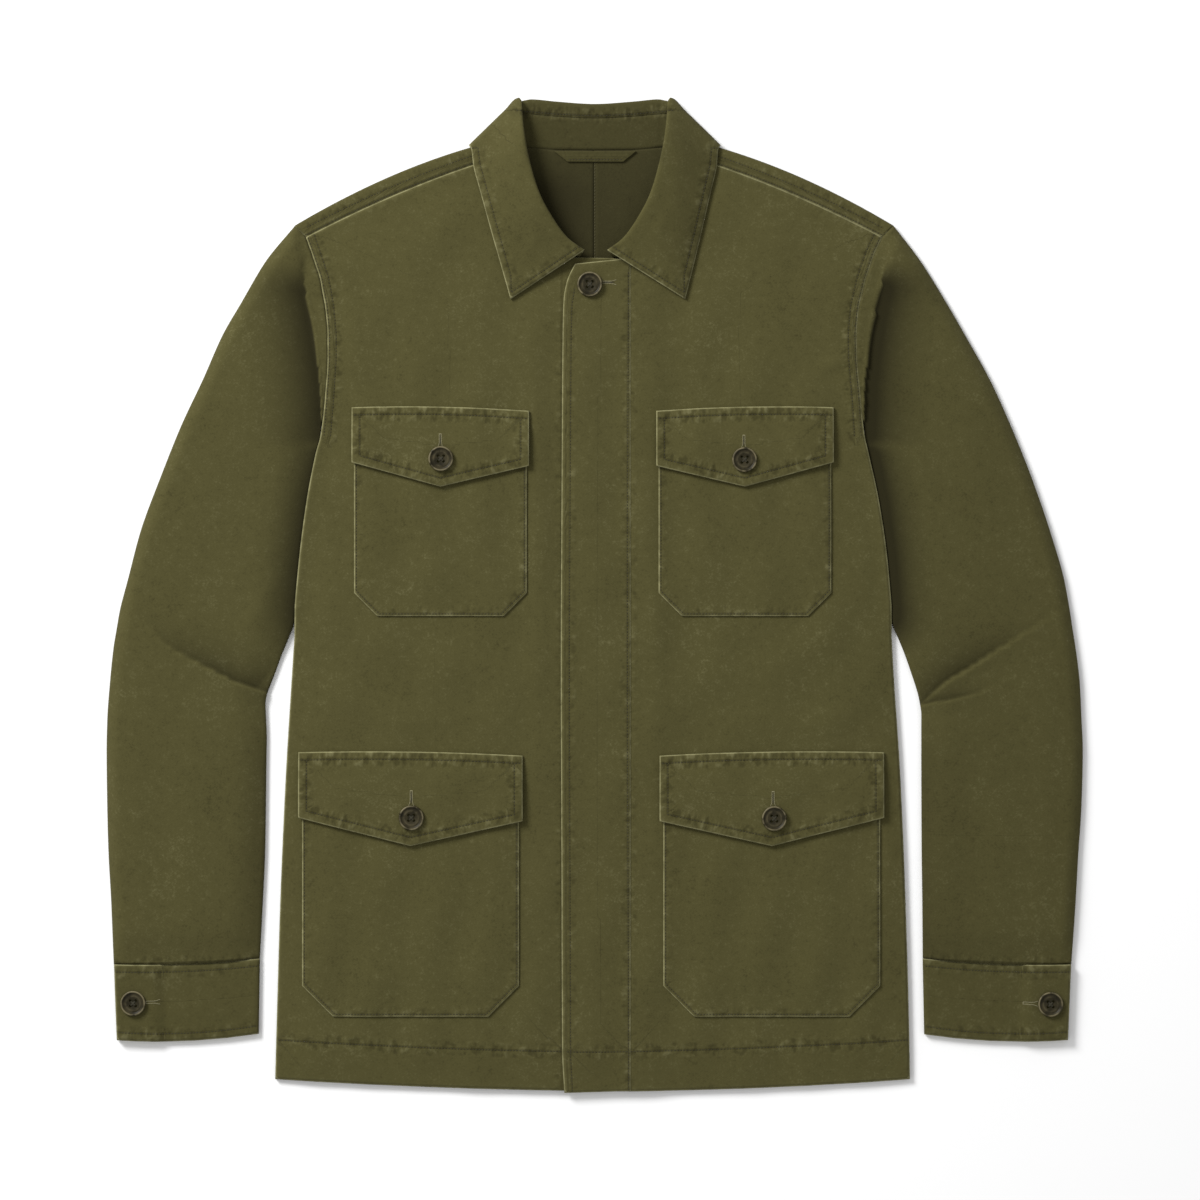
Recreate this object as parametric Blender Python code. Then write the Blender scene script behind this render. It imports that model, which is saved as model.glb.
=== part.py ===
"""A field jacket of cotton twill, laid flat on its back with its fly front closed.

The jacket lies on the plane z = 0 with its hem towards -Y and the inside of its neck open upwards.
Sides are the wearer's: the right side is at -X and the left side at +X. Each piece that is cut and
sewn is a wall of cloth of its own, GAP apart from the pieces it is sewn to. Tables and sizes are in
millimetres; points become metres when a mesh is made.
"""

import math
from collections import namedtuple

import bmesh
import bpy
from mathutils import Vector

MM = 0.001

# Cloth.
WALL = 1.5            # one ply of shell cloth, with its share of seam allowance
COLLAR_WALL = 1.6     # the two plies of the collar leaf
DOUBLE = 1.8          # placket, flaps and cuffs, two plies each
LOOP_WALL = 1.2
GAP = 0.3

# Heights of the middle of each layer above the surface, where nothing lies under the back.
BACK_MID = WALL / 2
FRONT_MID = WALL + GAP + WALL / 2
FRONT_TOP = 2 * WALL + GAP
LAID_ON_FRONT = FRONT_TOP + GAP
POCKET_TOP = LAID_ON_FRONT + WALL

RIGHT, LEFT = -1, 1
SIDE_NAMES = {RIGHT: "right", LEFT: "left"}


# ---------------------------------------------------------------- starting point and helpers

def clear_scene():
    for item in list(bpy.data.objects):
        bpy.data.objects.remove(item, do_unlink=True)


def make_material(name, colour, roughness):
    material = bpy.data.materials.new(name)
    material.use_nodes = True
    shader = material.node_tree.nodes["Principled BSDF"]
    shader.inputs["Base Color"].default_value = (*colour, 1.0)
    shader.inputs["Roughness"].default_value = roughness
    shader.inputs["Metallic"].default_value = 0.0
    return material


def add_object(name, bm, material):
    mesh = bpy.data.meshes.new(name)
    bm.to_mesh(mesh)
    bm.free()
    mesh.materials.append(material)
    item = bpy.data.objects.new(name, mesh)
    bpy.context.scene.collection.objects.link(item)
    return item


def cloth(name, rows, wall, material, tube=False):
    """A wall of cloth whose middle surface runs through rows of points."""
    last_row = len(rows) - 1
    last_column = len(rows[0]) - 1
    bm = bmesh.new()
    bmesh.ops.create_grid(bm, x_segments=last_column, y_segments=last_row, size=0.5)
    for vertex in bm.verts:
        column = round((vertex.co.x + 0.5) * last_column)
        row = round((vertex.co.y + 0.5) * last_row)
        vertex.co = Vector(rows[row][column]) * MM
    if tube:
        bmesh.ops.remove_doubles(bm, verts=bm.verts, dist=0.00001)
    bmesh.ops.recalc_face_normals(bm, faces=bm.faces)
    item = add_object(name, bm, material)
    shell = item.modifiers.new("cloth wall", "SOLIDIFY")
    shell.thickness = wall * MM
    shell.offset = 0.0
    shell.use_even_offset = True
    return item


def mix(a, b, share):
    return a + (b - a) * share


def ramp(value, start, end):
    """0 at start, 1 at end, straight between."""
    return min(1.0, max(0.0, (value - start) / (end - start)))


def moved_in(edge, inwards, turn, radius):
    """A plan point on a folded edge; turn is 90 on one layer, -90 on the other."""
    return edge + inwards * radius * (1 - math.cos(math.radians(turn)))


# ---------------------------------------------------------------- outline of the body

# Armhole seam from the shoulder seam to the underarm, and the side edge below it. front_y and
# back_y are the heights at which the same row of cloth meets the centre front and centre back.
Edge = namedtuple("Edge", "y right left front_y back_y")
BODY = [
    Edge(279, -225.0, 224.0, 0, 0),
    Edge(265, -220.0, 217.5, 0, 0),
    Edge(256, -217.0, 214.4, 0, 0),
    Edge(247, -214.0, 211.3, 0, 0),
    Edge(236, -212.0, 208.6, 0, 0),
    Edge(225, -210.0, 206.0, 0, 320),
    Edge(203, -208.0, 204.0, 264, 300),
    Edge(184, -208.0, 204.4, 250, 262),
    Edge(155, -210.0, 207.0, 212, 212),
    Edge(124, -212.5, 209.0, 165, 165),
    Edge(110, -215.9, 211.9, 142, 142),
    Edge(76, -222.5, 219.4, 95, 95),
    Edge(30, -228.6, 226.2, 40, 40),
    Edge(-30, -233.8, 231.1, -26, -26),
    Edge(-55, -235.4, 232.4, -56, -56),
    Edge(-140, -240.6, 237.9, -146, -146),
    Edge(-240, -245.0, 242.1, -248, -248),
    Edge(-341, -248.0, 244.9, -351, -351),
    Edge(-377, -249.0, 245.5, -386.5, -386.5),
]
UNDERARM = 9                         # row of BODY at the underarm
SHOULDER_TIP = {RIGHT: (-234.0, 288.0), LEFT: (233.0, 288.0)}
SHOULDER_BOW = 7.3                   # how far the shoulder fold arches over a straight line
SEAM_BOW = 4.0                       # the same for the forward shoulder seam
HEM_BOW = -1.8
CENTRE_FRONT = 19.0                  # where the fronts meet, under the placket
NECK_RIM_X = 72.0                    # the shoulder fold at the neck
NECK_RIM_Y = 354.5
AWAY = Vector((0.5, 0.866))          # outwards across the shoulder fold, on the left side

# Share of the way from the side edge to the centre for each column of a body panel.
ACROSS = (0.0, 0.035, 0.07, 0.10, 0.125, 0.2, 0.35, 0.52, 0.7, 0.85, 1.0)

# Behind the neck the back lies on the collar leaf, and comes down to the surface away from it.
NECK_RISE = COLLAR_WALL + 0.5
FRONT_LEAD = 5.0                     # the front lifts off the surface this far before the back


def rise(x, y):
    """Height of the back's underside above the surface."""
    return NECK_RISE * ramp(y, 264, 312) * ramp(abs(x), 190, 106)


def edge_point(edge, side):
    return Vector((edge.left if side == LEFT else edge.right, edge.y))


def body_row(outer, inner, height, bow=0.0):
    """One row of a body panel, from the side edge to the centre."""
    lead = FRONT_LEAD if height == FRONT_MID else 0.0
    row = []
    for share in ACROSS:
        point = outer.lerp(inner, share)
        point.y += 4 * bow * share * (1 - share)
        row.append((point.x, point.y, height + rise(point.x, point.y + lead)))
    return row


# ---------------------------------------------------------------- the collar's sections

# One row for each section of the collar, from the centre back round to the centre front, for the
# right side with its sign dropped. turn is the way the section faces: -90 lies under the neck, 90
# lies on the front. neck, fold and edge are the plan points of the neck seam, of the fold and of
# the free edge. lean_fold and lean_edge say how much farther out they lie on the left side.
Section = namedtuple("Section", "turn neck_x neck_y fold_x fold_y edge_x edge_y lean_fold lean_edge")
COLLAR = [
    Section(-90, 0.0, 346.8, 0.0, 382.2, 0.0, 322.0, 0.0, 0.0),
    Section(-90, 29.0, 347.0, 29.0, 384.0, 36.0, 323.0, 0.0, 0.0),
    Section(-90, 52.0, 349.0, 49.0, 385.8, 68.0, 329.0, 0.0, 0.0),
    Section(-90, NECK_RIM_X, NECK_RIM_Y, 57.6, 384.4, 96.1, 347.6, 0.0, 0.0),
    Section(-45, NECK_RIM_X, NECK_RIM_Y, 57.6, 384.4, 96.1, 347.6, 0.0, 0.0),
    Section(0, NECK_RIM_X, NECK_RIM_Y, 57.6, 384.4, 96.1, 347.6, 0.0, 0.0),
    Section(45, NECK_RIM_X, NECK_RIM_Y, 57.6, 384.4, 96.1, 347.6, 0.0, 0.0),
    Section(90, NECK_RIM_X, NECK_RIM_Y, 57.6, 384.4, 96.1, 347.6, 0.0, 0.0),
    Section(90, 76.5, 341.5, 56.6, 371.0, 94.2, 334.0, 0.0, 0.6),
    Section(90, 81.5, 325.0, 54.4, 354.0, 89.6, 317.0, 0.0, 1.2),
    Section(90, 79.0, 306.0, 50.0, 333.0, 84.8, 299.5, 0.0, 2.0),
    Section(90, 67.0, 289.0, 43.2, 311.5, 80.0, 282.0, 0.3, 2.8),
    Section(90, 49.0, 276.0, 33.5, 293.5, 75.2, 265.0, 0.7, 3.6),
    Section(90, 29.0, 267.5, 21.0, 277.0, 70.3, 247.5, 1.2, 4.3),
    Section(90, 12.0, 263.8, 8.4, 268.0, 65.5, 230.5, 1.8, 4.9),
]
SHOULDER_SECTION = 8                 # the section at the shoulder seam
ROLL_GAP = 0.7
ROLL = 0.3                           # the seam's share of the way from the fold to the neck seam
FOLD_RADIUS = 1.0
FOLD_TURNS = (90, 30, -30, -90)

# Heights of the middle of the collar's layers: behind the neck, and on the fronts.
STAND_LOW = NECK_RISE + WALL / 2
STAND_HIGH = 5.5
LEAF_LOW = COLLAR_WALL / 2 + 0.03
LEAF_HIGH = 7.5
LEAF_CLEARANCE = 0.2


def turned(plan, low, high, turn, side):
    """A plan point of a layer that turns up from its low height to its high one."""
    angle = math.radians(turn)
    out = (high - low) / 2 * math.cos(angle)
    height = mix(low, high, (1 + math.sin(angle)) / 2)
    return (plan.x + side * AWAY.x * out, plan.y + AWAY.y * out, height)


def plan_points(section, side):
    neck = Vector((side * section.neck_x, section.neck_y))
    fold = Vector((side * section.fold_x, section.fold_y))
    edge = Vector((side * section.edge_x, section.edge_y))
    if side == LEFT:
        neck.x += section.lean_fold
        fold.x += section.lean_fold
        edge.x += section.lean_edge
    return neck, fold, edge


def stand_section(section, side):
    neck, fold, _ = plan_points(section, side)
    seam = fold.lerp(neck, ROLL) + (neck - fold).normalized() * ROLL_GAP
    neck_high = FRONT_MID + rise(neck.x, neck.y)
    points = []
    for share in (0.0, 0.5, 1.0):
        plan = neck.lerp(seam, share)
        high = mix(neck_high, STAND_HIGH, share)
        points.append(turned(plan, STAND_LOW, high, section.turn, side))
    return points


def leaf_section(section, side):
    neck, fold, edge = plan_points(section, side)
    under = (neck - fold).normalized()
    over = (edge - fold).normalized()
    edge_high = LAID_ON_FRONT + COLLAR_WALL / 2 + LEAF_CLEARANCE + rise(edge.x, edge.y)
    points = [turned(fold.lerp(neck, ROLL), STAND_LOW, STAND_HIGH, section.turn, side)]
    for turn in FOLD_TURNS:
        plan = moved_in(fold, under if turn > 0 else over, turn, FOLD_RADIUS)
        share = (1 + math.sin(math.radians(turn))) / 2
        low = mix(LEAF_LOW, STAND_LOW, share)
        high = mix(LEAF_HIGH, STAND_HIGH, share)
        points.append(turned(plan, low, high, section.turn, side))
    for share in (0.25, 0.5, 0.75, 1.0):
        high = mix(LEAF_HIGH, edge_high, share ** 2)
        points.append(turned(fold.lerp(edge, share), LEAF_LOW, high, section.turn, side))
    return points


def all_round(section_points):
    """Sections from the right centre front, round the back, to the left centre front."""
    right = [section_points(section, RIGHT) for section in reversed(COLLAR)]
    left = [section_points(section, LEFT) for section in COLLAR[1:]]
    return right + left


def make_collar(material):
    cloth("collar_stand", all_round(stand_section), WALL, material)
    cloth("collar_leaf", all_round(leaf_section), COLLAR_WALL, material)


# ---------------------------------------------------------------- backs and fronts

SHOULDER_TURNS = (90, 45, 0, -45, -90)   # from the front layer to the back layer
NECK_GAP = 1.1                       # where the neck seam turns over the shoulder, under the leaf


def neck_seam(section, side):
    """The body's edge along the neck seam, a gap outside the collar's stand."""
    neck, fold, _ = plan_points(section, side)
    behind = section.turn == -90 and section.neck_x < NECK_RIM_X
    gap = GAP if behind else NECK_GAP
    return neck + (neck - fold).normalized() * gap


def shoulder_row(turn, side):
    """A row of the back along its fold over the shoulder."""
    inset = FRONT_MID / 2 + WALL / 2 - BACK_MID / 2
    tip = Vector(SHOULDER_TIP[side]) - Vector((side * AWAY.x, AWAY.y)) * inset
    rim = neck_seam(COLLAR[3], side)
    row = []
    for share in ACROSS:
        plan = tip.lerp(rim, share)
        plan.y += 4 * SHOULDER_BOW * share * (1 - share)
        under = rise(plan.x, plan.y)
        row.append(turned(plan, BACK_MID + under, FRONT_MID + under, turn, side))
    return row


def make_back(side, material):
    seam_tip = edge_point(BODY[0], side)
    seam_neck = neck_seam(COLLAR[SHOULDER_SECTION], side)
    rows = [body_row(seam_tip, seam_neck, FRONT_MID, SEAM_BOW)]
    rows += [shoulder_row(turn, side) for turn in SHOULDER_TURNS]
    neck = [neck_seam(section, side) for section in COLLAR[:4]]
    centre = side * GAP / 2
    neck[0].x = centre
    inner = [neck[3].lerp(neck[2], 0.5), neck[2], neck[2].lerp(neck[1], 0.5), neck[1], neck[0]]
    for edge, point in zip(BODY, inner):
        rows.append(body_row(edge_point(edge, side), point, BACK_MID))
    for edge in BODY[len(inner):-1]:
        rows.append(body_row(edge_point(edge, side), Vector((centre, edge.back_y)), BACK_MID))
    hem = Vector((centre, BODY[-1].back_y))
    rows.append(body_row(edge_point(BODY[-1], side), hem, BACK_MID, HEM_BOW))
    cloth("back_" + SIDE_NAMES[side], rows, WALL, material)


def make_front(side, material):
    neck = [neck_seam(section, side) for section in COLLAR[SHOULDER_SECTION:]]
    if side == RIGHT:
        centre = CENTRE_FRONT
        neck.append(Vector((centre, neck[-1].y - 1.0)))
    else:
        centre = CENTRE_FRONT + GAP
        share = (neck[-2].x - centre) / (neck[-2].x - neck[-1].x)
        neck[-1] = neck[-2].lerp(neck[-1], share)
    seam_gap = Vector((0.0, -GAP))
    rows = [body_row(edge_point(BODY[0], side) + seam_gap, neck[0] + seam_gap, FRONT_MID, SEAM_BOW)]
    for edge, point in zip(BODY[1:], neck[1:]):
        rows.append(body_row(edge_point(edge, side), point, FRONT_MID))
    for edge in BODY[len(neck):-1]:
        rows.append(body_row(edge_point(edge, side), Vector((centre, edge.front_y)), FRONT_MID))
    hem = Vector((centre, BODY[-1].front_y))
    rows.append(body_row(edge_point(BODY[-1], side), hem, FRONT_MID, HEM_BOW))
    cloth("front_" + SIDE_NAMES[side], rows, WALL, material)


# ---------------------------------------------------------------- placket

Band = namedtuple("Band", "left_y left_x right_y")
PLACKET = [
    Band(258.0, -15.2, 262.6),
    Band(251.4, -18.8, 257.0),
    Band(243.0, -22.0, 249.0),
    Band(230.0, -24.2, 234.0),
    Band(207.0, -24.9, 208.0),
    Band(92.0, -25.7, 92.0),
    Band(-49.0, -26.4, -49.0),
    Band(-200.0, -25.9, -200.0),
    Band(-355.0, -25.3, -355.0),
    Band(-387.5, -23.6, -386.0),
]
PLACKET_RIGHT = 28.0


def make_placket(material):
    rows = []
    for band in PLACKET:
        left = Vector((band.left_x, band.left_y, LAID_ON_FRONT + DOUBLE / 2))
        right = Vector((PLACKET_RIGHT, band.right_y, LAID_ON_FRONT + DOUBLE / 2))
        rows.append([left.lerp(right, share / 4) for share in range(5)])
    cloth("placket", rows, DOUBLE, material)


# ---------------------------------------------------------------- sleeves

# One row for each ring of the sleeve: the outer edge at y, the inner edge at inner_y. From the
# underarm down to y = -20 the inner edge lies along the side edge of the body.
Ring = namedtuple("Ring", "y right left inner_y inner_right inner_left")
SLEEVE = [
    Ring(286.8, -234.8, 233.9, 124, -212.5, 209.0),
    Ring(261, -256.0, 253.5, 110, -216.7, 212.7),
    Ring(229, -275.0, 273.5, 97, -219.2, 215.6),
    Ring(203, -290.0, 288.5, 70, -224.1, 221.1),
    Ring(168, -305.5, 308.0, 35, -228.8, 226.4),
    Ring(133, -322.0, 324.0, 0, -232.0, 229.6),
    Ring(92, -338.5, 340.5, -20, -233.8, 231.2),
    Ring(50, -354.0, 355.0, -35, -239.0, 237.0),
    Ring(12, -364.0, 366.0, -47, -244.0, 241.8),
    Ring(-11, -370.0, 370.2, -62, -249.5, 247.0),
    Ring(-28, -373.0, 372.8, -71, -253.0, 250.0),
    Ring(-40, -375.0, 374.7, -78, -255.5, 252.0),
    Ring(-54, -376.6, 376.6, -85, -256.5, 253.4),
    Ring(-69, -378.0, 378.2, -93, -256.2, 254.4),
    Ring(-97, -380.0, 379.5, -111, -255.5, 254.4),
    Ring(-120, -380.5, 380.5, -130, -255.8, 254.4),
    Ring(-165, -380.0, 379.4, -165, -256.2, 254.5),
    Ring(-201, -379.0, 377.0, -201, -256.8, 254.7),
    Ring(-237, -377.0, 375.0, -240, -258.6, 255.2),
    Ring(-287.4, -375.0, 371.6, -282.9, -260.9, 255.5),
]
SLEEVE_END_BOW = -2.0
ARMHOLE_GAP = 0.45
HEAD_FADE = 4                        # rings over which the armhole's curve fades from the sleeve
SLEEVE_PUFF = 1.8                    # how far the upper layer stands off the lower one
PUFF_START = 8.0                     # distances from the edges where it leaves the lower layer
PUFF_FULL = 36.0

# Ridges of cloth across the bend of the elbow and down the upper arm, on the right sleeve.
Fold = namedtuple("Fold", "x1 y1 x2 y2 height width")
SLEEVE_FOLDS = [
    Fold(-262, -88, -350, -44, 3.2, 11.0),
    Fold(-268, -44, -352, 10, 2.0, 14.0),
    Fold(-250, 150, -318, 20, 1.6, 16.0),
    Fold(-288, -150, -330, -262, 1.4, 14.0),
]


def fold_height(x, y):
    """Height that the sleeve's folds add at a point of the right sleeve."""
    total = 0.0
    point = Vector((x, y))
    for fold in SLEEVE_FOLDS:
        start = Vector((fold.x1, fold.y1))
        run = Vector((fold.x2, fold.y2)) - start
        share = min(1.0, max(0.0, (point - start).dot(run) / run.length_squared))
        distance = (point - start - run * share).length
        ends = math.sin(math.pi * (0.1 + 0.8 * share))
        total += fold.height * ends * math.exp(-(distance / fold.width) ** 2)
    return total


def folded_edge(edge, inwards):
    """Points of a ring round its folded edge, from the upper layer to the lower one."""
    radius = (FRONT_MID - BACK_MID) / 2
    points = []
    for turn in FOLD_TURNS:
        plan = moved_in(edge + inwards * WALL / 2, inwards, turn, radius)
        points.append((plan.x, plan.y, BACK_MID + radius * (1 + math.sin(math.radians(turn)))))
    return points


def ring_ends(index, side):
    """The plan points of a ring's outer and inner edges."""
    ring = SLEEVE[min(max(index, 0), len(SLEEVE) - 1)]
    if side == LEFT:
        return Vector((ring.left, ring.y)), Vector((ring.inner_left, ring.inner_y))
    return Vector((ring.right, ring.y)), Vector((ring.inner_right, ring.inner_y))


def sleeve_columns(index, side):
    """Plan points across the sleeve, which take the armhole's curve near the sleeve head."""
    head = SLEEVE[0]
    outer, inner = ring_ends(index, side)
    head_outer, head_inner = ring_ends(0, side)
    fade = max(0.0, 1.0 - index / HEAD_FADE)
    seam = [head_outer] + [edge_point(edge, side) for edge in BODY[:UNDERARM + 1]]
    points = []
    for place, seam_point in enumerate(seam):
        share = (head.y - seam_point.y) / (head.y - head.inner_y)
        before = seam[max(place - 1, 0)]
        after = seam[min(place + 1, UNDERARM + 1)]
        along = (after - before).normalized()
        clear = Vector((-along.y, along.x)) * side * ARMHOLE_GAP
        bulge = seam_point + clear - head_outer.lerp(head_inner, share)
        points.append(outer.lerp(inner, share) + bulge * fade)
    return points


def sleeve_ring(index, side):
    """A flat ring of cloth: the upper layer from the outer edge inwards, the lower layer back."""
    columns = sleeve_columns(index, side)
    outer, inner = columns[0], columns[-1]
    upper = []
    lower = []
    for point in columns[1:-1]:
        if index == len(SLEEVE) - 1:
            share = (point - outer).length / (inner - outer).length
            point.y += 4 * SLEEVE_END_BOW * share * (1 - share)
        from_edge = min((point - outer).length, (point - inner).length)
        full = ramp(from_edge, PUFF_START, PUFF_FULL) * min(1.0, index / 2)
        ridge = fold_height(-abs(point.x), point.y) * full
        upper.append((point.x, point.y, FRONT_MID + SLEEVE_PUFF * full + ridge))
        lower.append((point.x, point.y, BACK_MID))
    outer_before, inner_before = ring_ends(index - 1, side)
    outer_after, inner_after = ring_ends(index + 1, side)
    outer_run = (outer_after - outer_before).normalized() * side
    inner_run = (inner_after - inner_before).normalized() * side
    outer_edge = folded_edge(outer, Vector((outer_run.y, -outer_run.x)))
    inner_edge = folded_edge(inner, Vector((-inner_run.y, inner_run.x)))
    ring_points = upper + inner_edge + lower[::-1] + outer_edge[::-1]
    return ring_points + [ring_points[0]]


def make_sleeve(side, material):
    rows = [sleeve_ring(index, side) for index in range(len(SLEEVE))]
    cloth("sleeve_" + SIDE_NAMES[side], rows, WALL, material, tube=True)


# ---------------------------------------------------------------- cuffs

# The four corners of each cuff as it lies, for the right side with its sign dropped.
Cuff = namedtuple("Cuff", "outer inner outer_y inner_y bow")
CUFF_ROWS = {
    RIGHT: [Cuff(374.8, 260.9, -287.9, -283.4, SLEEVE_END_BOW),
            Cuff(373.8, 261.4, -317.0, -312.4, -2.6),
            Cuff(372.6, 261.8, -346.4, -341.5, -3.2)],
    LEFT: [Cuff(371.4, 255.5, -287.9, -283.4, SLEEVE_END_BOW),
           Cuff(370.2, 256.1, -317.0, -312.6, -2.6),
           Cuff(369.0, 256.7, -346.2, -342.0, -3.2)],
}
CUFF_TURN = DOUBLE / 2 + GAP / 2
CUFF_LOW = DOUBLE / 2
CUFF_MID = CUFF_LOW + 2 * CUFF_TURN
CUFF_HIGH = CUFF_MID + 2 * CUFF_TURN
UNDERLAP = 30.0                      # how far the buttoned end reaches under the top layer


def cuff_fold(distance, inwards):
    """Stops round a folded edge of the band, from the middle layer to the lowest."""
    stops = []
    for turn in FOLD_TURNS:
        angle = math.radians(turn)
        across = distance + inwards * (DOUBLE / 2 + CUFF_TURN * (1 - math.cos(angle)))
        stops.append((across, CUFF_LOW + CUFF_TURN * (1 + math.sin(angle))))
    return stops


def cuff_row(cuff, side):
    """The band from its upper end, round the inner edge and the outer edge, to its lower end."""
    width = cuff.outer - cuff.inner
    stops = [(0.6, CUFF_HIGH), (14.0, CUFF_HIGH), (UNDERLAP + 1.0, CUFF_HIGH),
             (UNDERLAP + 9.0, CUFF_MID), (width * 0.55, CUFF_MID), (width * 0.78, CUFF_MID)]
    stops += cuff_fold(width, -1)
    stops += [(width * 0.6, CUFF_LOW), (width * 0.3, CUFF_LOW)]
    stops += cuff_fold(0.0, 1)[::-1]
    stops += [(14.0, CUFF_MID), (UNDERLAP, CUFF_MID)]
    row = []
    for distance, height in stops:
        share = distance / width
        y = mix(cuff.outer_y, cuff.inner_y, share) + 4 * cuff.bow * share * (1 - share)
        row.append((side * (cuff.outer - distance), y, height))
    return row


def make_cuff(side, material):
    rows = [cuff_row(cuff, side) for cuff in CUFF_ROWS[side]]
    cloth("cuff_" + SIDE_NAMES[side], rows, DOUBLE, material)


# ---------------------------------------------------------------- pockets and their flaps

# Widths and heights of the pockets on both sides. The outer end of each flap sits a little higher.
Pocket = namedtuple(
    "Pocket", "name right_x left_x half top bottom corner flap_half flap_top flap_side flap_point tilt")
POCKETS = [
    Pocket("chest", -120.1, 116.9, 67.2, 126.0, -16.2, 18.0, 69.0, 144.8, 102.0, 84.5, 1.4),
    Pocket("lower", -143.4, 137.8, 84.4, -144.0, -328.0, 24.0, 87.3, -123.6, -174.4, -195.0, 1.3),
]
FLAP_SEAT = 16.0                     # the flap reaches full height this far below its top edge
FLAP_BOW = 1.8


def pocket_centre(pocket, side):
    return pocket.left_x if side == LEFT else pocket.right_x


def make_pocket(pocket, side, material):
    centre = pocket_centre(pocket, side)
    corner_y = pocket.bottom + pocket.corner
    heights = [pocket.top, mix(pocket.top, corner_y, 0.5), corner_y, pocket.bottom]
    halves = [pocket.half] * 3 + [pocket.half - pocket.corner]
    rows = []
    for y, half in zip(heights, halves):
        rows.append([(centre + half * share, y, LAID_ON_FRONT + WALL / 2)
                     for share in (-1.0, -0.5, 0.0, 0.5, 1.0)])
    cloth(pocket.name + "_pocket_" + SIDE_NAMES[side], rows, WALL, material)


def make_flap(pocket, side, material):
    centre = pocket_centre(pocket, side)
    seat = LAID_ON_FRONT + DOUBLE / 2
    over_pocket = POCKET_TOP + GAP + DOUBLE / 2
    rows = []
    for drop in (0.0, FLAP_SEAT / 2, FLAP_SEAT, None):
        row = []
        for step in range(-4, 5):
            share = step / 4
            tilt = pocket.tilt * share * side
            y = pocket.flap_top + tilt + FLAP_BOW * (1 - share ** 2)
            height = over_pocket
            if drop is None:
                y = mix(pocket.flap_point, pocket.flap_side, abs(share)) + tilt
            else:
                y -= drop
                height = mix(seat, over_pocket, drop / FLAP_SEAT)
            row.append((centre + pocket.flap_half * share, y, height))
        rows.append(row)
    cloth(pocket.name + "_flap_" + SIDE_NAMES[side], rows, DOUBLE, material)


# ---------------------------------------------------------------- hanger loop

LOOP_TOP = 345.7
LOOP_BOTTOM = 337.6
LOOP_TOP_HALF = 31.9
LOOP_BOTTOM_HALF = 21.7
LOOP_CENTRE = 0.5


def make_hanger_loop(material):
    height = NECK_RISE + WALL + GAP + LOOP_WALL / 2
    rows = []
    for y, half in ((LOOP_TOP, LOOP_TOP_HALF), (LOOP_BOTTOM, LOOP_BOTTOM_HALF)):
        rows.append([(LOOP_CENTRE + half * share, y, height) for share in (-1.0, 0.0, 1.0)])
    cloth("hanger_loop", rows, LOOP_WALL, material)


# ---------------------------------------------------------------- buttons

BUTTON_RADIUS = 9.75
BUTTON_SEGMENTS = 24
BUTTON_PROFILE = ((0.0, 0.0), (8.4, 0.0), (9.5, 0.7), (9.75, 1.6), (9.2, 2.7), (8.0, 2.7),
                  (7.0, 2.0), (0.0, 1.8))
HOLE_RADIUS = 0.9
HOLE_OFFSET = 2.1

# Seat is the top of what the button is sewn to.
Button = namedtuple("Button", "name x y seat")
FLAP_SURFACE = POCKET_TOP + GAP + DOUBLE
BUTTONS = [
    Button("button_neck", -3.9, 242.0, LAID_ON_FRONT + DOUBLE),
    Button("button_chest_right", -119.6, 106.2, FLAP_SURFACE),
    Button("button_chest_left", 116.4, 105.4, FLAP_SURFACE),
    Button("button_lower_right", -142.6, -173.0, FLAP_SURFACE),
    Button("button_lower_left", 139.5, -173.5, FLAP_SURFACE),
    Button("button_cuff_right", -359.3, -317.5, CUFF_HIGH + DOUBLE / 2),
    Button("button_cuff_left", 354.7, -318.3, CUFF_HIGH + DOUBLE / 2),
]


def button_mesh():
    """A disc with a raised rim, turned about Z."""
    bm = bmesh.new()
    profile = [bm.verts.new((radius * MM, 0.0, height * MM)) for radius, height in BUTTON_PROFILE]
    edges = [bm.edges.new(pair) for pair in zip(profile, profile[1:])]
    bmesh.ops.spin(bm, geom=profile + edges, axis=(0, 0, 1), cent=(0, 0, 0),
                   angle=math.tau, steps=BUTTON_SEGMENTS, use_merge=True)
    bmesh.ops.remove_doubles(bm, verts=bm.verts, dist=0.00001)
    bmesh.ops.recalc_face_normals(bm, faces=bm.faces)
    return bm


def holes_mesh():
    bm = bmesh.new()
    for x in (-HOLE_OFFSET, HOLE_OFFSET):
        for y in (-HOLE_OFFSET, HOLE_OFFSET):
            made = bmesh.ops.create_cone(
                bm, cap_ends=True, segments=8, radius1=HOLE_RADIUS * MM,
                radius2=HOLE_RADIUS * MM, depth=8 * MM)
            bmesh.ops.translate(bm, verts=made["verts"], vec=(x * MM, y * MM, 0.0))
    return bm


def make_buttons(material):
    for button in BUTTONS:
        place = Vector((button.x, button.y, button.seat + GAP)) * MM
        item = add_object(button.name, button_mesh(), material)
        item.location = place
        cutter = add_object(button.name + "_holes", holes_mesh(), material)
        cutter.location = place
        cutter.hide_render = True
        cutter.display_type = "WIRE"
        cut = item.modifiers.new("sewing holes", "BOOLEAN")
        cut.operation = "DIFFERENCE"
        cut.solver = "EXACT"
        cut.object = cutter


# ---------------------------------------------------------------- the jacket

clear_scene()
TWILL = make_material("olive_twill", (0.093, 0.080, 0.030), 0.92)
LINING_SIDE = make_material("olive_twill_inside", (0.060, 0.050, 0.020), 0.94)
BUTTON_RESIN = make_material("button_resin", (0.026, 0.020, 0.014), 0.35)

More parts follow.
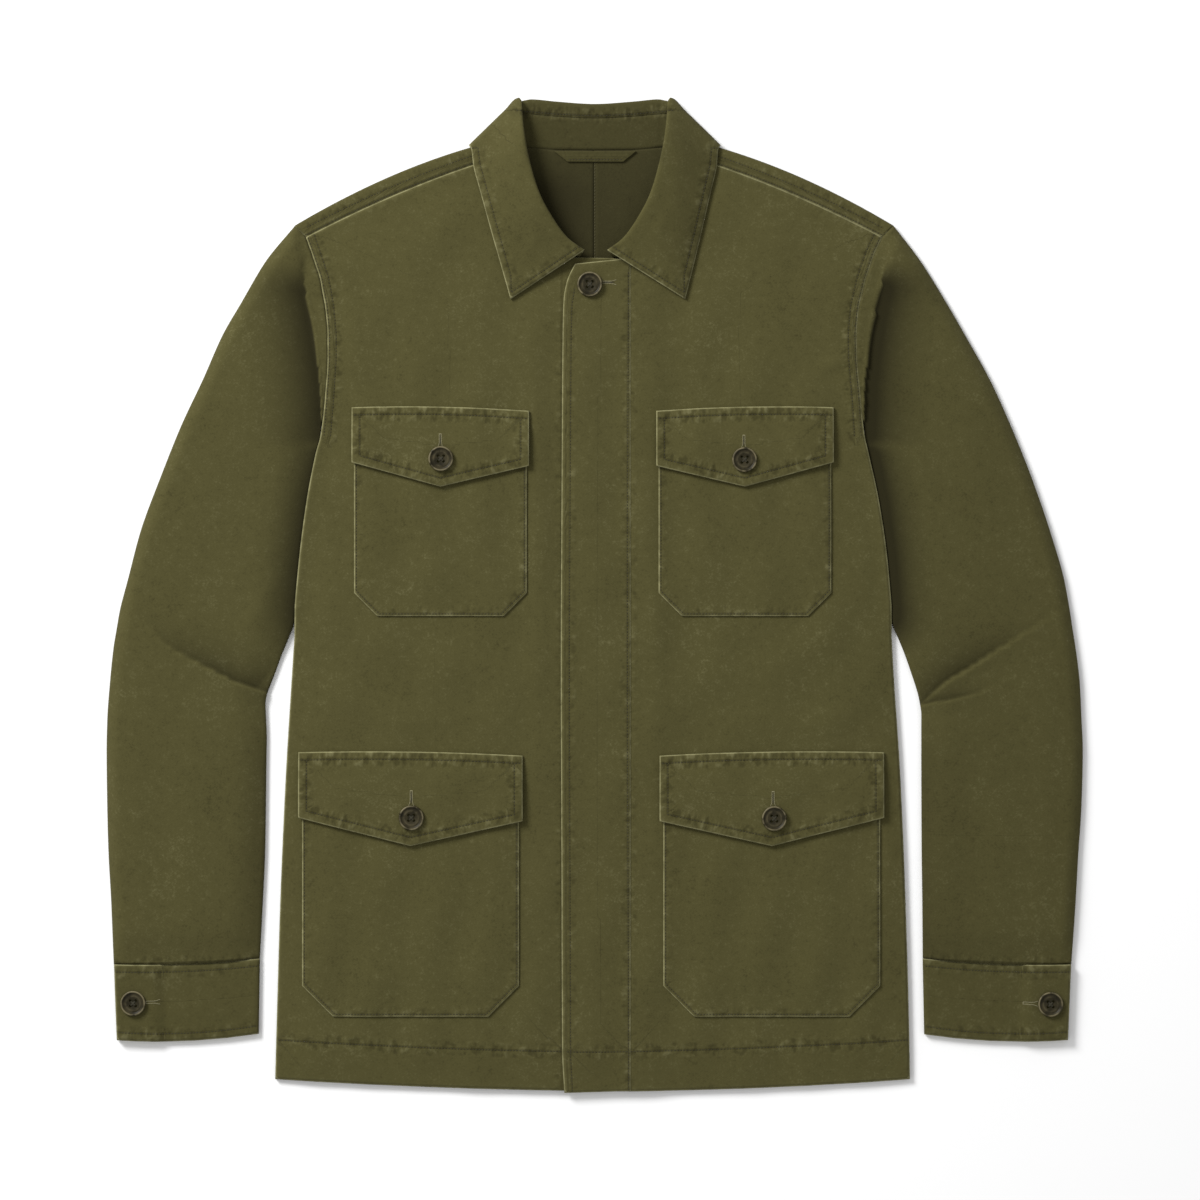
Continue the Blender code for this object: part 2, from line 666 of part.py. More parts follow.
for jacket_side in (RIGHT, LEFT):
    make_back(jacket_side, LINING_SIDE)
    make_front(jacket_side, TWILL)
    make_sleeve(jacket_side, TWILL)
    make_cuff(jacket_side, TWILL)
    for pocket_size in POCKETS:
        make_pocket(pocket_size, jacket_side, TWILL)
        make_flap(pocket_size, jacket_side, TWILL)
make_placket(TWILL)
make_collar(TWILL)
make_hanger_loop(TWILL)
make_buttons(BUTTON_RESIN)
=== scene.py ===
"""A field jacket of washed olive twill, laid flat on its back with its fly front buttoned.

The jacket lies on the surface z = 0, hem towards -Y, the inside of its neck open upwards. Sides are
the wearer's: right is at -X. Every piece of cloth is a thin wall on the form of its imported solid,
lifted by the air and the folds under it. Tables and sizes are in millimetres, and points become
metres when a mesh is made.
"""

import math
from collections import namedtuple

import bmesh
import bpy
import numpy as np
from mathutils import Matrix, Vector
from mathutils.bvhtree import BVHTree


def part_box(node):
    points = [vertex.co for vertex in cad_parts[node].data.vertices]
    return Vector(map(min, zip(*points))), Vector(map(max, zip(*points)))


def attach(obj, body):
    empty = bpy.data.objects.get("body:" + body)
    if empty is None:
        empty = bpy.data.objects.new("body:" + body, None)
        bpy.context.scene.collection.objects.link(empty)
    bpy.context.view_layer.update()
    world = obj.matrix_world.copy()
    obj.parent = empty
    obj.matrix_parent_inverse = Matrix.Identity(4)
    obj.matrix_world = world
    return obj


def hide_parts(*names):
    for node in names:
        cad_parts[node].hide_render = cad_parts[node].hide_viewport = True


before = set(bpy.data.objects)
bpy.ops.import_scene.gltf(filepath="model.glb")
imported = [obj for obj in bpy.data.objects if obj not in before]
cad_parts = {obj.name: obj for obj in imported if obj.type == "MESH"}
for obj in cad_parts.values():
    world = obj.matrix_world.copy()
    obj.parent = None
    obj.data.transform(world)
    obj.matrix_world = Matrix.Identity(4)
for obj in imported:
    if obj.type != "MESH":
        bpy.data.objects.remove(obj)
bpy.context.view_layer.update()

MM = 0.001
RIGHT, LEFT = -1, 1
SIDE_NAMES = {RIGHT: "right", LEFT: "left"}
scene = bpy.context.scene


# ------------------------------------------------------------------------------------------------
# The table the jacket lies on, the lamps and the camera straight above it. The surface is plain
# white card; a large soft lamp stands at the upper left, and white walls fill the other side.

VIEW_CENTRE = (0.0041, -0.0037)
VIEW_WIDTH = 0.936
KEY_PLACE = (-2.15, 2.1, 1.95)
KEY_SIZE = 1.5
KEY_POWER = 158.0
ROOM_LIGHT = 0.62                    # what the white walls give back
LENS, SENSOR = 120.0, 36.0
TABLE_SIZE = 12.0
TABLE_GAP = 0.0004                   # the table top lies this far under the jacket
CARD = (0.92, 0.92, 0.92, 1.0)


def make_table():
    bm = bmesh.new()
    bmesh.ops.create_grid(bm, x_segments=2, y_segments=2, size=TABLE_SIZE / 2)
    mesh = bpy.data.meshes.new("table_top")
    bm.to_mesh(mesh)
    bm.free()
    table = bpy.data.objects.new("table_top", mesh)
    table.location.z = -TABLE_GAP
    scene.collection.objects.link(table)
    card = bpy.data.materials.new("white_card")
    card.use_nodes = True
    shader = card.node_tree.nodes["Principled BSDF"]
    shader.inputs["Base Color"].default_value = CARD
    shader.inputs["Roughness"].default_value = 0.95
    shader.inputs["Specular IOR Level"].default_value = 0.1
    mesh.materials.append(card)


def make_lamp(name, place, size, power):
    lamp = bpy.data.lights.new(name, "AREA")
    lamp.shape = "DISK"
    lamp.size = size
    lamp.energy = power
    item = bpy.data.objects.new(name, lamp)
    item.location = place
    item.rotation_euler = (-Vector(place)).to_track_quat("-Z", "Y").to_euler()
    scene.collection.objects.link(item)


def make_camera():
    camera = bpy.data.cameras.new("camera")
    camera.lens = LENS
    camera.sensor_width = SENSOR
    item = bpy.data.objects.new("camera", camera)
    item.location = (*VIEW_CENTRE, VIEW_WIDTH * LENS / SENSOR)
    scene.collection.objects.link(item)
    scene.camera = item


make_table()
make_lamp("key_lamp", KEY_PLACE, KEY_SIZE, KEY_POWER)
make_camera()
world = bpy.data.worlds.new("studio")
world.use_nodes = True
world.node_tree.nodes["Background"].inputs["Color"].default_value = (1.0, 1.0, 1.0, 1.0)
world.node_tree.nodes["Background"].inputs["Strength"].default_value = ROOM_LIGHT
scene.world = world
scene.view_settings.view_transform = "Standard"


# ------------------------------------------------------------------------------------------------
# The back: two halves of twill joined down the centre back, each wrapped over the shoulder to a
# seam on the front. Its inside shows in the neck. This section also holds the way cloth is made.

WALL = 1.5
COLLAR_WALL = 1.6
DOUBLE = 1.8
LOOP_WALL = 1.2
GAP = 0.3
BACK_MID = WALL / 2
FRONT_MID = WALL + GAP + WALL / 2
FRONT_TOP = 2 * WALL + GAP
LAID_ON_FRONT = FRONT_TOP + GAP

Tones = namedtuple("Tones", "dark middle light")
OUTSIDE = Tones((0.034, 0.030, 0.009), (0.0660, 0.0592, 0.0196), (0.225, 0.212, 0.105))
# The inside tones: the cloth's reverse, darkened as painted shade for the depth of the neck.
SHADED_INSIDE = Tones((0.018, 0.015, 0.005), (0.036, 0.032, 0.011), (0.085, 0.078, 0.033))
# Colour of painted shade in folds and in the shadow of other cloth, and of the darker tone of some whole
# pieces.
SHADE_AND_TONE_COLOUR = (0.013, 0.011, 0.003)
THREAD = (0.030, 0.026, 0.009)
PALE = (0.280, 0.255, 0.140)
# Patterns of the cloth, as blotches or ribs in a metre, and how far its grain stands up.
GRAIN = 640.0
MOTTLE = 150.0
CLOUD = 16.0
RIBS = 260.0
RIB_TURN = math.radians(-58.0)
GRAIN_HEIGHT = 0.0003


class Value:
    """A number that varies over a surface, which takes part in sums."""

    def __init__(self, tree, link):
        self.tree = tree
        self.link = link

    def sum(self, operation, first, second):
        return add_node(self.tree, "ShaderNodeMath", {"operation": operation}, {0: first, 1: second})

    def __add__(self, other):
        return self.sum("ADD", self, other)

    def __sub__(self, other):
        return self.sum("SUBTRACT", self, other)

    def __rsub__(self, other):
        return self.sum("SUBTRACT", other, self)

    def __mul__(self, other):
        return self.sum("MULTIPLY", self, other)

    def __pow__(self, other):
        return self.sum("POWER", self, other)

    __radd__ = __add__
    __rmul__ = __mul__

    def between(self, low, high):
        """0 below low and 1 above high, with a soft change between."""
        settings = {"interpolation_type": "SMOOTHSTEP"}
        return add_node(self.tree, "ShaderNodeMapRange", settings, {0: self, 1: low, 2: high})


def add_node(tree, kind, settings, inputs, output=0):
    """Adds a node, sets it up and joins its sockets; gives the output as a Value."""
    node = tree.nodes.new(kind)
    for name, setting in settings.items():
        setattr(node, name, setting)
    for name, item in inputs.items():
        socket = node.inputs[name]
        if isinstance(item, Value):
            tree.links.new(item.link, socket)
        else:
            socket.default_value = item
    return Value(tree, node.outputs[output])


def blend_colours(tree, share, first, second):
    """One colour changing to another as share goes from 0 to 1."""
    node = tree.nodes.new("ShaderNodeMix")
    node.data_type = "RGBA"
    tree.links.new(share.link, node.inputs[0])
    for socket, item in ((node.inputs[6], first), (node.inputs[7], second)):
        if isinstance(item, Value):
            tree.links.new(item.link, socket)
        else:
            socket.default_value = (*item, 1.0)
    return Value(tree, node.outputs[2])


def twill(name):
    """Washed cotton twill: fine diagonal ribs, and ridges and edges that are worn pale.

    rim is the distance from a cut edge in millimetres. across is the distance from the nearest row
    of stitching, along counts the puckers on the way along it, and drawn says how hard it pulls.
    shade blends towards the inside tones, where the inside of the cloth shows and as painted shade
    inside the neck. The darkening layer is painted shade in folds and in the shadow of other cloth,
    and a darker tone over some whole pieces.
    """
    material = bpy.data.materials.new(name)
    material.use_nodes = True
    tree = material.node_tree
    place = add_node(tree, "ShaderNodeTexCoord", {}, {}, "Object")

    def clouds(scale, detail):
        return add_node(tree, "ShaderNodeTexNoise", {}, {"Vector": place, "Scale": scale, "Detail": detail})

    def painted(layer):
        return add_node(tree, "ShaderNodeAttribute", {"attribute_name": layer}, {}, "Fac")

    turned = add_node(tree, "ShaderNodeMapping", {},
                      {"Vector": place, "Rotation": (0.0, 0.0, RIB_TURN)})
    ribs = add_node(tree, "ShaderNodeTexWave", {"wave_type": "BANDS", "bands_direction": "X"},
                    {"Vector": turned, "Scale": RIBS, "Distortion": 1.6, "Detail": 1.0,
                     "Detail Scale": 3.0})
    rim = painted("rim")
    across = painted("across")
    along = painted("along")
    drawn = painted("drawn")
    shade = painted("shade")
    painted_shade_and_tone = painted("painted_shade_and_tone")
    grain = clouds(GRAIN, 2.0)
    mottle = clouds(MOTTLE, 3.0)
    cloud = clouds(CLOUD, 2.0)
    beside = add_node(tree, "ShaderNodeCombineXYZ", {}, {0: along, 1: across * 0.07, 2: drawn * 3.0})
    bars = add_node(tree, "ShaderNodeTexNoise", {}, {"Vector": beside, "Scale": 1.9, "Detail": 1.6})
    apart = across * across
    near = (1.0 - apart.between(2.0, 62.0)) * drawn
    ripple = (bars - 0.5) * near
    groove = (1.0 - apart.between(0.05, 1.7)) * drawn
    tone = (grain - 0.5) * 1.1 + (mottle - 0.5) * 0.8 + (cloud - 0.5) * 0.6 + (ribs - 0.5) * 0.1
    edge_wear = (1.0 - rim.between(0.3, 1.25)) * (0.6 + mottle.between(0.36, 0.6) * 0.4)
    band_wear = (1.0 - rim.between(0.5, 6.0)) * 0.12
    ridge_wear = ripple.between(0.0, 0.2) * mottle.between(0.1, 0.6)
    worn = (edge_wear * 0.74 + band_wear + ridge_wear * 0.30).between(0.0, 1.1)
    # Darker in the puckers' troughs, whose dye is kept, and along each row's groove as painted shade.
    kept_dye_and_groove_shade = (0.0 - ripple).between(0.01, 0.2) * 0.6 + groove * 0.4
    dark = blend_colours(tree, shade, OUTSIDE.dark, SHADED_INSIDE.dark)
    middle = blend_colours(tree, shade, OUTSIDE.middle, SHADED_INSIDE.middle)
    light = blend_colours(tree, shade, OUTSIDE.light, SHADED_INSIDE.light)
    colour = blend_colours(tree, (0.0 - tone).between(0.02, 0.75), middle, dark)
    colour = blend_colours(tree, tone.between(0.02, 0.9) * 0.42, colour, light)
    colour = blend_colours(tree, kept_dye_and_groove_shade, colour, dark)
    colour = blend_colours(tree, worn, colour, light)
    # Painted shade: the darkening layer darkens folds and cloth in the shadow of other cloth.
    colour = blend_colours(tree, painted_shade_and_tone, colour, SHADE_AND_TONE_COLOUR)
    height = ribs * 0.25 + grain * 0.7 + mottle * 0.6 + ripple * 9.0 - groove * 1.2
    shader = tree.nodes["Principled BSDF"]
    bump = tree.nodes.new("ShaderNodeBump")
    bump.inputs["Strength"].default_value = 0.4
    bump.inputs["Distance"].default_value = GRAIN_HEIGHT
    tree.links.new(height.link, bump.inputs["Height"])
    tree.links.new(bump.outputs["Normal"], shader.inputs["Normal"])
    tree.links.new(colour.link, shader.inputs["Base Color"])
    rough = 0.96 - worn * 0.06
    tree.links.new(rough.link, shader.inputs["Roughness"])
    shader.inputs["Sheen Weight"].default_value = 0.02
    shader.inputs["Sheen Roughness"].default_value = 0.6
    shader.inputs["Specular IOR Level"].default_value = 0.12
    return material


def plain_thread(name, colour):
    material = bpy.data.materials.new(name)
    material.use_nodes = True
    tree = material.node_tree
    place = add_node(tree, "ShaderNodeTexCoord", {}, {}, "Object")
    ply = add_node(tree, "ShaderNodeTexNoise", {}, {"Vector": place, "Scale": 900.0, "Detail": 1.0})
    dark = tuple(channel * 0.55 for channel in colour)
    mixed = blend_colours(tree, ply, dark, colour)
    shader = tree.nodes["Principled BSDF"]
    tree.links.new(mixed.link, shader.inputs["Base Color"])
    shader.inputs["Roughness"].default_value = 0.8
    return material


OUTER_TWILL = twill("olive_twill")
INSIDE_TWILL = twill("twill_inside")
SEWING_THREAD = plain_thread("sewing_thread", THREAD)
FAINT_THREAD = plain_thread("inner_thread", (0.080, 0.072, 0.028))
PALE_THREAD = plain_thread("buttonhole_thread", PALE)


def mix(a, b, share):
    return a + (b - a) * share


def ramp(value, start, end):
    """0 at start, 1 at end, straight between."""
    return min(1.0, max(0.0, (value - start) / (end - start)))


def spread(points, spacing, curved):
    """Adds points along the first axis of a net, about spacing apart, and keeps the given ones."""
    lengths = np.linalg.norm(np.diff(points, axis=0), axis=-1)
    step = lengths.mean(axis=1)
    counts = np.maximum(1, np.ceil(lengths.max(axis=1) / spacing).astype(int))
    slope = np.diff(points, axis=0) / step[:, None, None]
    tangent = np.empty_like(points)
    tangent[0], tangent[-1] = slope[0], slope[-1]
    before, after = step[:-1, None, None], step[1:, None, None]
    same_way = slope[:-1] * slope[1:] > 0
    steep = (2 * after + before) / np.where(same_way, slope[:-1], 1.0)
    shallow = (after + 2 * before) / np.where(same_way, slope[1:], 1.0)
    tangent[1:-1] = np.where(same_way, 3 * (before + after) / np.where(same_way, steep + shallow, 1.0), 0.0)
    made = []
    for i, count in enumerate(counts):
        for k in range(count):
            t = k / count
            if curved:
                leaving = (t**3 - 2 * t**2 + t) * step[i] * tangent[i]
                arriving = (t**3 - t**2) * step[i] * tangent[i + 1]
                made.append((2 * t**3 - 3 * t**2 + 1) * points[i] + leaving
                            + (3 * t**2 - 2 * t**3) * points[i + 1] + arriving)
            else:
                made.append(mix(points[i], points[i + 1], t))
    made.append(points[-1])
    return np.array(made)


def net_of(rows, spacing, curved):
    """A fine net of points through rows of points; curved says which of its two ways is rounded."""
    net = spread(np.array(rows, float), spacing, curved[0])
    return spread(net.transpose(1, 0, 2), spacing, curved[1]).transpose(1, 0, 2)


def rim_distance(net, tube):
    """How far each point of the net lies from the nearest cut edge."""
    down = np.linalg.norm(np.diff(net, axis=0), axis=-1)
    down = np.vstack([np.zeros(net.shape[1]), np.cumsum(down, axis=0)])
    rim = np.minimum(down, down[-1] - down)
    if not tube:
        across = np.linalg.norm(np.diff(net, axis=1), axis=-1)
        across = np.hstack([np.zeros((net.shape[0], 1)), np.cumsum(across, axis=1)])
        rim = np.minimum(rim, np.minimum(across, across[:, -1:] - across))
    return rim


def nearest_on(line, x, y):
    """Distance from plan points to a line of points, the length along it, and the side it is on."""
    best = np.full(np.shape(x), 1e9)
    along = np.zeros(np.shape(x))
    side = np.ones(np.shape(x))
    walked = 0.0
    for (x1, y1), (x2, y2) in zip(line, line[1:]):
        run = math.hypot(x2 - x1, y2 - y1)
        ux, uy = (x2 - x1) / run, (y2 - y1) / run
        t = np.clip((x - x1) * ux + (y - y1) * uy, 0.0, run)
        dx, dy = x - x1 - t * ux, y - y1 - t * uy
        distance = np.hypot(dx, dy)
        closer = distance < best
        best = np.where(closer, distance, best)
        along = np.where(closer, walked + t, along)
        side = np.where(closer, np.sign(ux * dy - uy * dx + 1e-9), side)
        walked += run
    return best, along, side


def line_length(line):
    return sum(math.hypot(b[0] - a[0], b[1] - a[1]) for a, b in zip(line, line[1:]))


PULL = 0.30                          # the pucker of a row that draws the cloth in fully
GROOVE_WIDTH = 1.5
DEEPEST = -0.22                      # as far as a pucker sinks, above the layer beneath
RIM_PRESS = 0.12                     # a cut edge is pressed down by this, over RIM_REACH
RIM_REACH = 1.6
UPPER_CHANGE = 0.9                   # height over which the upper layer of a tube begins to move
FAR = 99.0                           # stands for a distance at which an edge or row does nothing
ROW_REACH = 30.0                     # the farthest from a row that is painted
# A row of stitching draws the cloth down into a groove and puckers it on both sides.
Seam = namedtuple("Seam", "line reach pucker pitch groove")


def seam_ripple(seam, x, y):
    """Ridges and hollows across a seam, from -1 to 1, uneven in length and spacing."""
    distance, along, side = nearest_on(seam.line, x, y)
    wander = 2.3 * np.sin(along / 31.0 + seam.pitch) + 1.5 * np.sin(along / 11.7 + 2.0)
    phase = 2 * np.pi * (along + wander + side * seam.pitch * 0.21) / seam.pitch
    ripple = np.sin(phase) + 0.35 * np.sin(1.7 * phase + 1.0)
    uneven = 0.62 + 0.38 * np.sin(along / 19.0 + 1.7 * seam.pitch) * np.sin(along / 7.3 + 0.6)
    reach = seam.reach * (0.8 + 0.4 * np.sin(along / 16.0 + seam.pitch) ** 2)
    return ripple / 1.2 * uneven * np.exp(-((distance / reach) ** 2))


# A soft fold or hollow in the cloth, along a line; steep sharpens its left side.
Crease = namedtuple("Crease", "line height width steep")


def crease_relief(crease, x, y):
    distance, along, side = nearest_on(crease.line, x, y)
    share = along / line_length(crease.line)
    ends = np.sin(np.pi * np.clip(0.04 + 0.92 * share, 0.0, 1.0)) ** 0.7
    width = crease.width * np.where(side > 0, 1.0 / crease.steep, 1.0)
    return crease.height * ends * np.exp(-((distance / width) ** 2))


def smooth_ramp(value, start, end):
    """0 at start, 1 at end, with a soft change between."""
    share = np.clip((value - start) / (end - start), 0.0, 1.0)
    return share * share * (3.0 - 2.0 * share)


def cloth(name, rows, wall, material, spacing=3.2, curved=(False, False), tube=False, seams=(),
          creases=(), upper_from=None, lift=None, shade=None, painted_shade_and_tone=None, worn=True):
    """A wall of cloth through rows of points, with its seams' puckers and its creases.

    lift gives the height that the whole layer gains at plan points, shade where its inside shows and
    where shade is painted inside the neck, the darkening where shade is painted in folds and in the
    shadow of other cloth and where a piece is darker all over, and upper_from the height over which
    cloth belongs to the upper layer, which alone moves.
    """
    net = net_of(rows, spacing, curved)
    rim = rim_distance(net, tube)
    x, y, z = net[..., 0], net[..., 1], net[..., 2]
    relief = np.zeros(x.shape)
    closest = np.full(x.shape, FAR)
    across, along, drawn = np.full(x.shape, ROW_REACH), np.zeros(x.shape), np.zeros(x.shape)
    for seam in seams:
        distance, walked, seam_side = nearest_on(seam.line, x, y)
        closer = distance < closest
        closest = np.where(closer, distance, closest)
        across = np.where(closer, np.clip(distance * seam_side, -ROW_REACH, ROW_REACH), across)
        along = np.where(closer, walked / seam.pitch, along)
        drawn = np.where(closer, seam.pucker / PULL, drawn)
        ripple = seam_ripple(seam, x, y)
        groove = np.exp(-((distance / GROOVE_WIDTH) ** 2))
        swell = np.exp(-((distance / seam.reach) ** 2))
        relief += seam.pucker * (0.7 * ripple + 0.5 * swell) - seam.groove * groove
    for crease in creases:
        relief += crease_relief(crease, x, y)
    relief = np.maximum(relief, DEEPEST) - RIM_PRESS * np.exp(-((rim / RIM_REACH) ** 2))
    if lift is not None:
        relief += lift(x, y)
    if upper_from is not None:
        upper = smooth_ramp(z, upper_from, upper_from + UPPER_CHANGE)
        relief *= upper
        drawn *= upper
    # The inside of the cloth, and painted shade inside the neck.
    inside = np.zeros(x.shape) if shade is None else shade(x, y, z)
    layers = {
        "rim": rim + FAR * inside if worn else np.full(x.shape, FAR),
        "across": across,
        "along": along,
        "drawn": drawn,
        "shade": inside,
        "painted_shade_and_tone": np.zeros(x.shape) if painted_shade_and_tone is None else painted_shade_and_tone(x, y, z),
    }
    net = np.dstack([x, y, z + relief])
    return wall_from_net(name, net, layers, wall, material, tube)


def wall_from_net(name, net, layers, wall, material, tube):
    """A wall round a net of points, with the layers that its material reads."""
    rows, columns = net.shape[:2]
    bm = bmesh.new()
    bmesh.ops.create_grid(bm, x_segments=columns - 1, y_segments=rows - 1, size=0.5)
    painted = [(bm.verts.layers.float.new(key), values) for key, values in layers.items()]
    for vertex in bm.verts:
        column = round((vertex.co.x + 0.5) * (columns - 1))
        row = round((vertex.co.y + 0.5) * (rows - 1))
        vertex.co = Vector(net[row, column]) * MM
        for layer, values in painted:
            vertex[layer] = float(values[row, column])
    if tube:
        bmesh.ops.remove_doubles(bm, verts=bm.verts, dist=0.00001)
    bmesh.ops.recalc_face_normals(bm, faces=bm.faces)
    for face in bm.faces:
        face.smooth = True
    piece = finish_mesh(name + "_cloth", bm, material)
    shell = piece.modifiers.new("wall", "SOLIDIFY")
    shell.thickness = wall * MM
    shell.offset = 0.0
    shell.use_even_offset = not tube
    return piece


def finish_mesh(name, bm, material):
    mesh = bpy.data.meshes.new(name)
    bm.to_mesh(mesh)
    bm.free()
    mesh.materials.append(material)
    piece = bpy.data.objects.new(name, mesh)
    scene.collection.objects.link(piece)
    return piece


def declare(piece, node, cut):
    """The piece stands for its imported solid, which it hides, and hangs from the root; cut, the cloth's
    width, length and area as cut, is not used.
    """
    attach(piece, "root")
    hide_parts(node)
    cut[0] * MM
    cut[1] * MM


STITCH = 1.75
STITCH_GAP = 0.65
STITCH_WIDTH = 0.60
STITCH_HEIGHT = 0.48
DROP = 0.1                           # a height in metres above all of the jacket, to look down from


def sew(piece, seams, material=None):
    """Lays a row of stitches along each seam, seated on the piece's cloth."""
    depsgraph = bpy.context.evaluated_depsgraph_get()
    surface = BVHTree.FromObject(piece, depsgraph)
    bm = bmesh.new()
    for seam in seams:
        total = line_length(seam.line)
        count = max(1, int(total / (STITCH + STITCH_GAP)))
        for i in range(count):
            middle = point_along(seam.line, (i + 0.5) / count * total)
            ahead = point_along(seam.line, min(total, (i + 0.7) / count * total))
            start = Vector((middle[0] * MM, middle[1] * MM, DROP))
            seat = surface.ray_cast(start, Vector((0, 0, -1)))[0]
            if seat is None:
                continue
            turn = math.atan2(ahead[1] - middle[1], ahead[0] - middle[0])
            size = Vector((STITCH, STITCH_WIDTH, STITCH_HEIGHT)) / 2 * MM
            shape = (Matrix.Translation(seat + Vector((0, 0, 0.00006))) @ Matrix.Rotation(turn, 4, "Z")
                     @ Matrix.Diagonal((*size, 1.0)))
            bmesh.ops.create_icosphere(bm, subdivisions=1, radius=1.0, matrix=shape)
    for face in bm.faces:
        face.smooth = True
    stitches = finish_mesh(piece.name + "_stitches", bm, material or SEWING_THREAD)
    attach(stitches, "root")
    return stitches


def point_along(line, distance):
    for (x1, y1), (x2, y2) in zip(line, line[1:]):
        run = math.hypot(x2 - x1, y2 - y1)
        if distance <= run:
            return (mix(x1, x2, distance / run), mix(y1, y2, distance / run))
        distance -= run
    return line[-1]


def rounded(points, steps=8):
    """A smooth line through a few plan points."""
    net = np.array([[(x, y, 0.0)] for x, y in points], float)
    spacing = line_length(points) / (len(points) * steps)
    return [(float(p[0, 0]), float(p[0, 1])) for p in spread(net, spacing, True)]


# The outline of the body, which the backs, fronts and sleeves share.
# Armhole seam from the shoulder seam to the underarm, and the side edge below it. front_y and
# back_y are the heights at which the same row of cloth meets the centre front and centre back.
Edge = namedtuple("Edge", "y right left front_y back_y")
BODY = [
    Edge(279, -225.0, 224.0, 0, 0),
    Edge(265, -220.0, 217.5, 0, 0),
    Edge(256, -217.0, 214.4, 0, 0),
    Edge(247, -214.0, 211.3, 0, 0),
    Edge(236, -212.0, 208.6, 0, 0),
    Edge(225, -210.0, 206.0, 0, 320),
    Edge(203, -208.0, 204.0, 264, 300),
    Edge(184, -208.0, 204.4, 250, 262),
    Edge(155, -210.0, 207.0, 212, 212),
    Edge(124, -212.5, 209.0, 165, 165),
    Edge(110, -215.9, 211.9, 142, 142),
    Edge(76, -222.5, 219.4, 95, 95),
    Edge(30, -228.6, 226.2, 40, 40),
    Edge(-30, -233.8, 231.1, -26, -26),
    Edge(-55, -235.4, 232.4, -56, -56),
    Edge(-140, -240.6, 237.9, -146, -146),
    Edge(-240, -245.0, 242.1, -248, -248),
    Edge(-341, -248.0, 244.9, -351, -351),
    Edge(-377, -249.0, 245.5, -386.5, -386.5),
]
UNDERARM = 9                         # row of BODY at the underarm
SHOULDER_TIP = {RIGHT: (-234.0, 288.0), LEFT: (233.0, 288.0)}
SHOULDER_BOW = 7.3                   # how far the shoulder fold arches over a straight line
SEAM_BOW = 4.0                       # the same for the forward shoulder seam
HEM_BOW = -1.8
CENTRE_FRONT = 19.0                  # where the fronts meet, under the placket
NECK_RIM_X = 72.0                    # the shoulder fold at the neck
NECK_RIM_Y = 354.5
AWAY = Vector((0.5, 0.866))          # outwards across the shoulder fold, on the left side

# Share of the way from the side edge to the centre for each column of a body panel.
ACROSS = (0.0, 0.035, 0.07, 0.10, 0.125, 0.2, 0.35, 0.52, 0.7, 0.85, 1.0)

# Behind the neck the back lies on the collar leaf, and comes down to the surface away from it.
NECK_RISE = COLLAR_WALL + 0.5
RISE_START, RISE_END = 264, 312      # heights up the back between which it rises
RISE_OUTER, RISE_INNER = 190, 106    # and distances from the centre
FRONT_LEAD = 5.0                     # the front lifts off the surface this far before the back


def rise(x, y):
    """Height of the back's underside above the surface."""
    return NECK_RISE * ramp(y, RISE_START, RISE_END) * ramp(abs(x), RISE_OUTER, RISE_INNER)


def edge_point(edge, side):
    return Vector((edge.left if side == LEFT else edge.right, edge.y))


def body_row(outer, inner, height, bow=0.0):
    """One row of a body panel, from the side edge to the centre."""
    lead = FRONT_LEAD if height == FRONT_MID else 0.0
    row = []
    for share in ACROSS:
        point = outer.lerp(inner, share)
        point.y += 4 * bow * share * (1 - share)
        row.append((point.x, point.y, height + rise(point.x, point.y + lead)))
    return row


def moved_in(edge, inwards, turn, radius):
    """A plan point on a folded edge; turn is 90 on one layer, -90 on the other."""
    return edge + inwards * radius * (1 - math.cos(math.radians(turn)))


# The collar's sections are needed here, because its seam bounds the backs and the fronts.
# One row for each section of the collar, from the centre back round to the centre front, for the
# right side with its sign dropped. turn is the way the section faces: -90 lies under the neck, 90
# lies on the front. neck, fold and edge are the plan points of the neck seam, of the fold and of
# the free edge. lean_fold and lean_edge say how much farther out they lie on the left side.
Section = namedtuple("Section", "turn neck_x neck_y fold_x fold_y edge_x edge_y lean_fold lean_edge")
COLLAR = [
    Section(-90, 0.0, 346.8, 0.0, 382.2, 0.0, 322.0, 0.0, 0.0),
    Section(-90, 29.0, 347.0, 29.0, 384.0, 36.0, 323.0, 0.0, 0.0),
    Section(-90, 52.0, 349.0, 49.0, 385.8, 68.0, 329.0, 0.0, 0.0),
    Section(-90, NECK_RIM_X, NECK_RIM_Y, 57.6, 384.4, 96.1, 347.6, 0.0, 0.0),
    Section(-45, NECK_RIM_X, NECK_RIM_Y, 57.6, 384.4, 96.1, 347.6, 0.0, 0.0),
    Section(0, NECK_RIM_X, NECK_RIM_Y, 57.6, 384.4, 96.1, 347.6, 0.0, 0.0),
    Section(45, NECK_RIM_X, NECK_RIM_Y, 57.6, 384.4, 96.1, 347.6, 0.0, 0.0),
    Section(90, NECK_RIM_X, NECK_RIM_Y, 57.6, 384.4, 96.1, 347.6, 0.0, 0.0),
    Section(90, 76.5, 341.5, 56.6, 371.0, 94.2, 334.0, 0.0, 0.6),
    Section(90, 81.5, 325.0, 54.4, 354.0, 89.6, 317.0, 0.0, 1.2),
    Section(90, 79.0, 306.0, 50.0, 333.0, 84.8, 299.5, 0.0, 2.0),
    Section(90, 67.0, 289.0, 43.2, 311.5, 80.0, 282.0, 0.3, 2.8),
    Section(90, 49.0, 276.0, 33.5, 293.5, 75.2, 265.0, 0.7, 3.6),
    Section(90, 29.0, 267.5, 21.0, 277.0, 70.3, 247.5, 1.2, 4.3),
    Section(90, 12.0, 263.8, 8.4, 268.0, 65.5, 230.5, 1.8, 4.9),
]
SHOULDER_SECTION = 8                 # the section at the shoulder seam
ROLL_GAP = 0.06
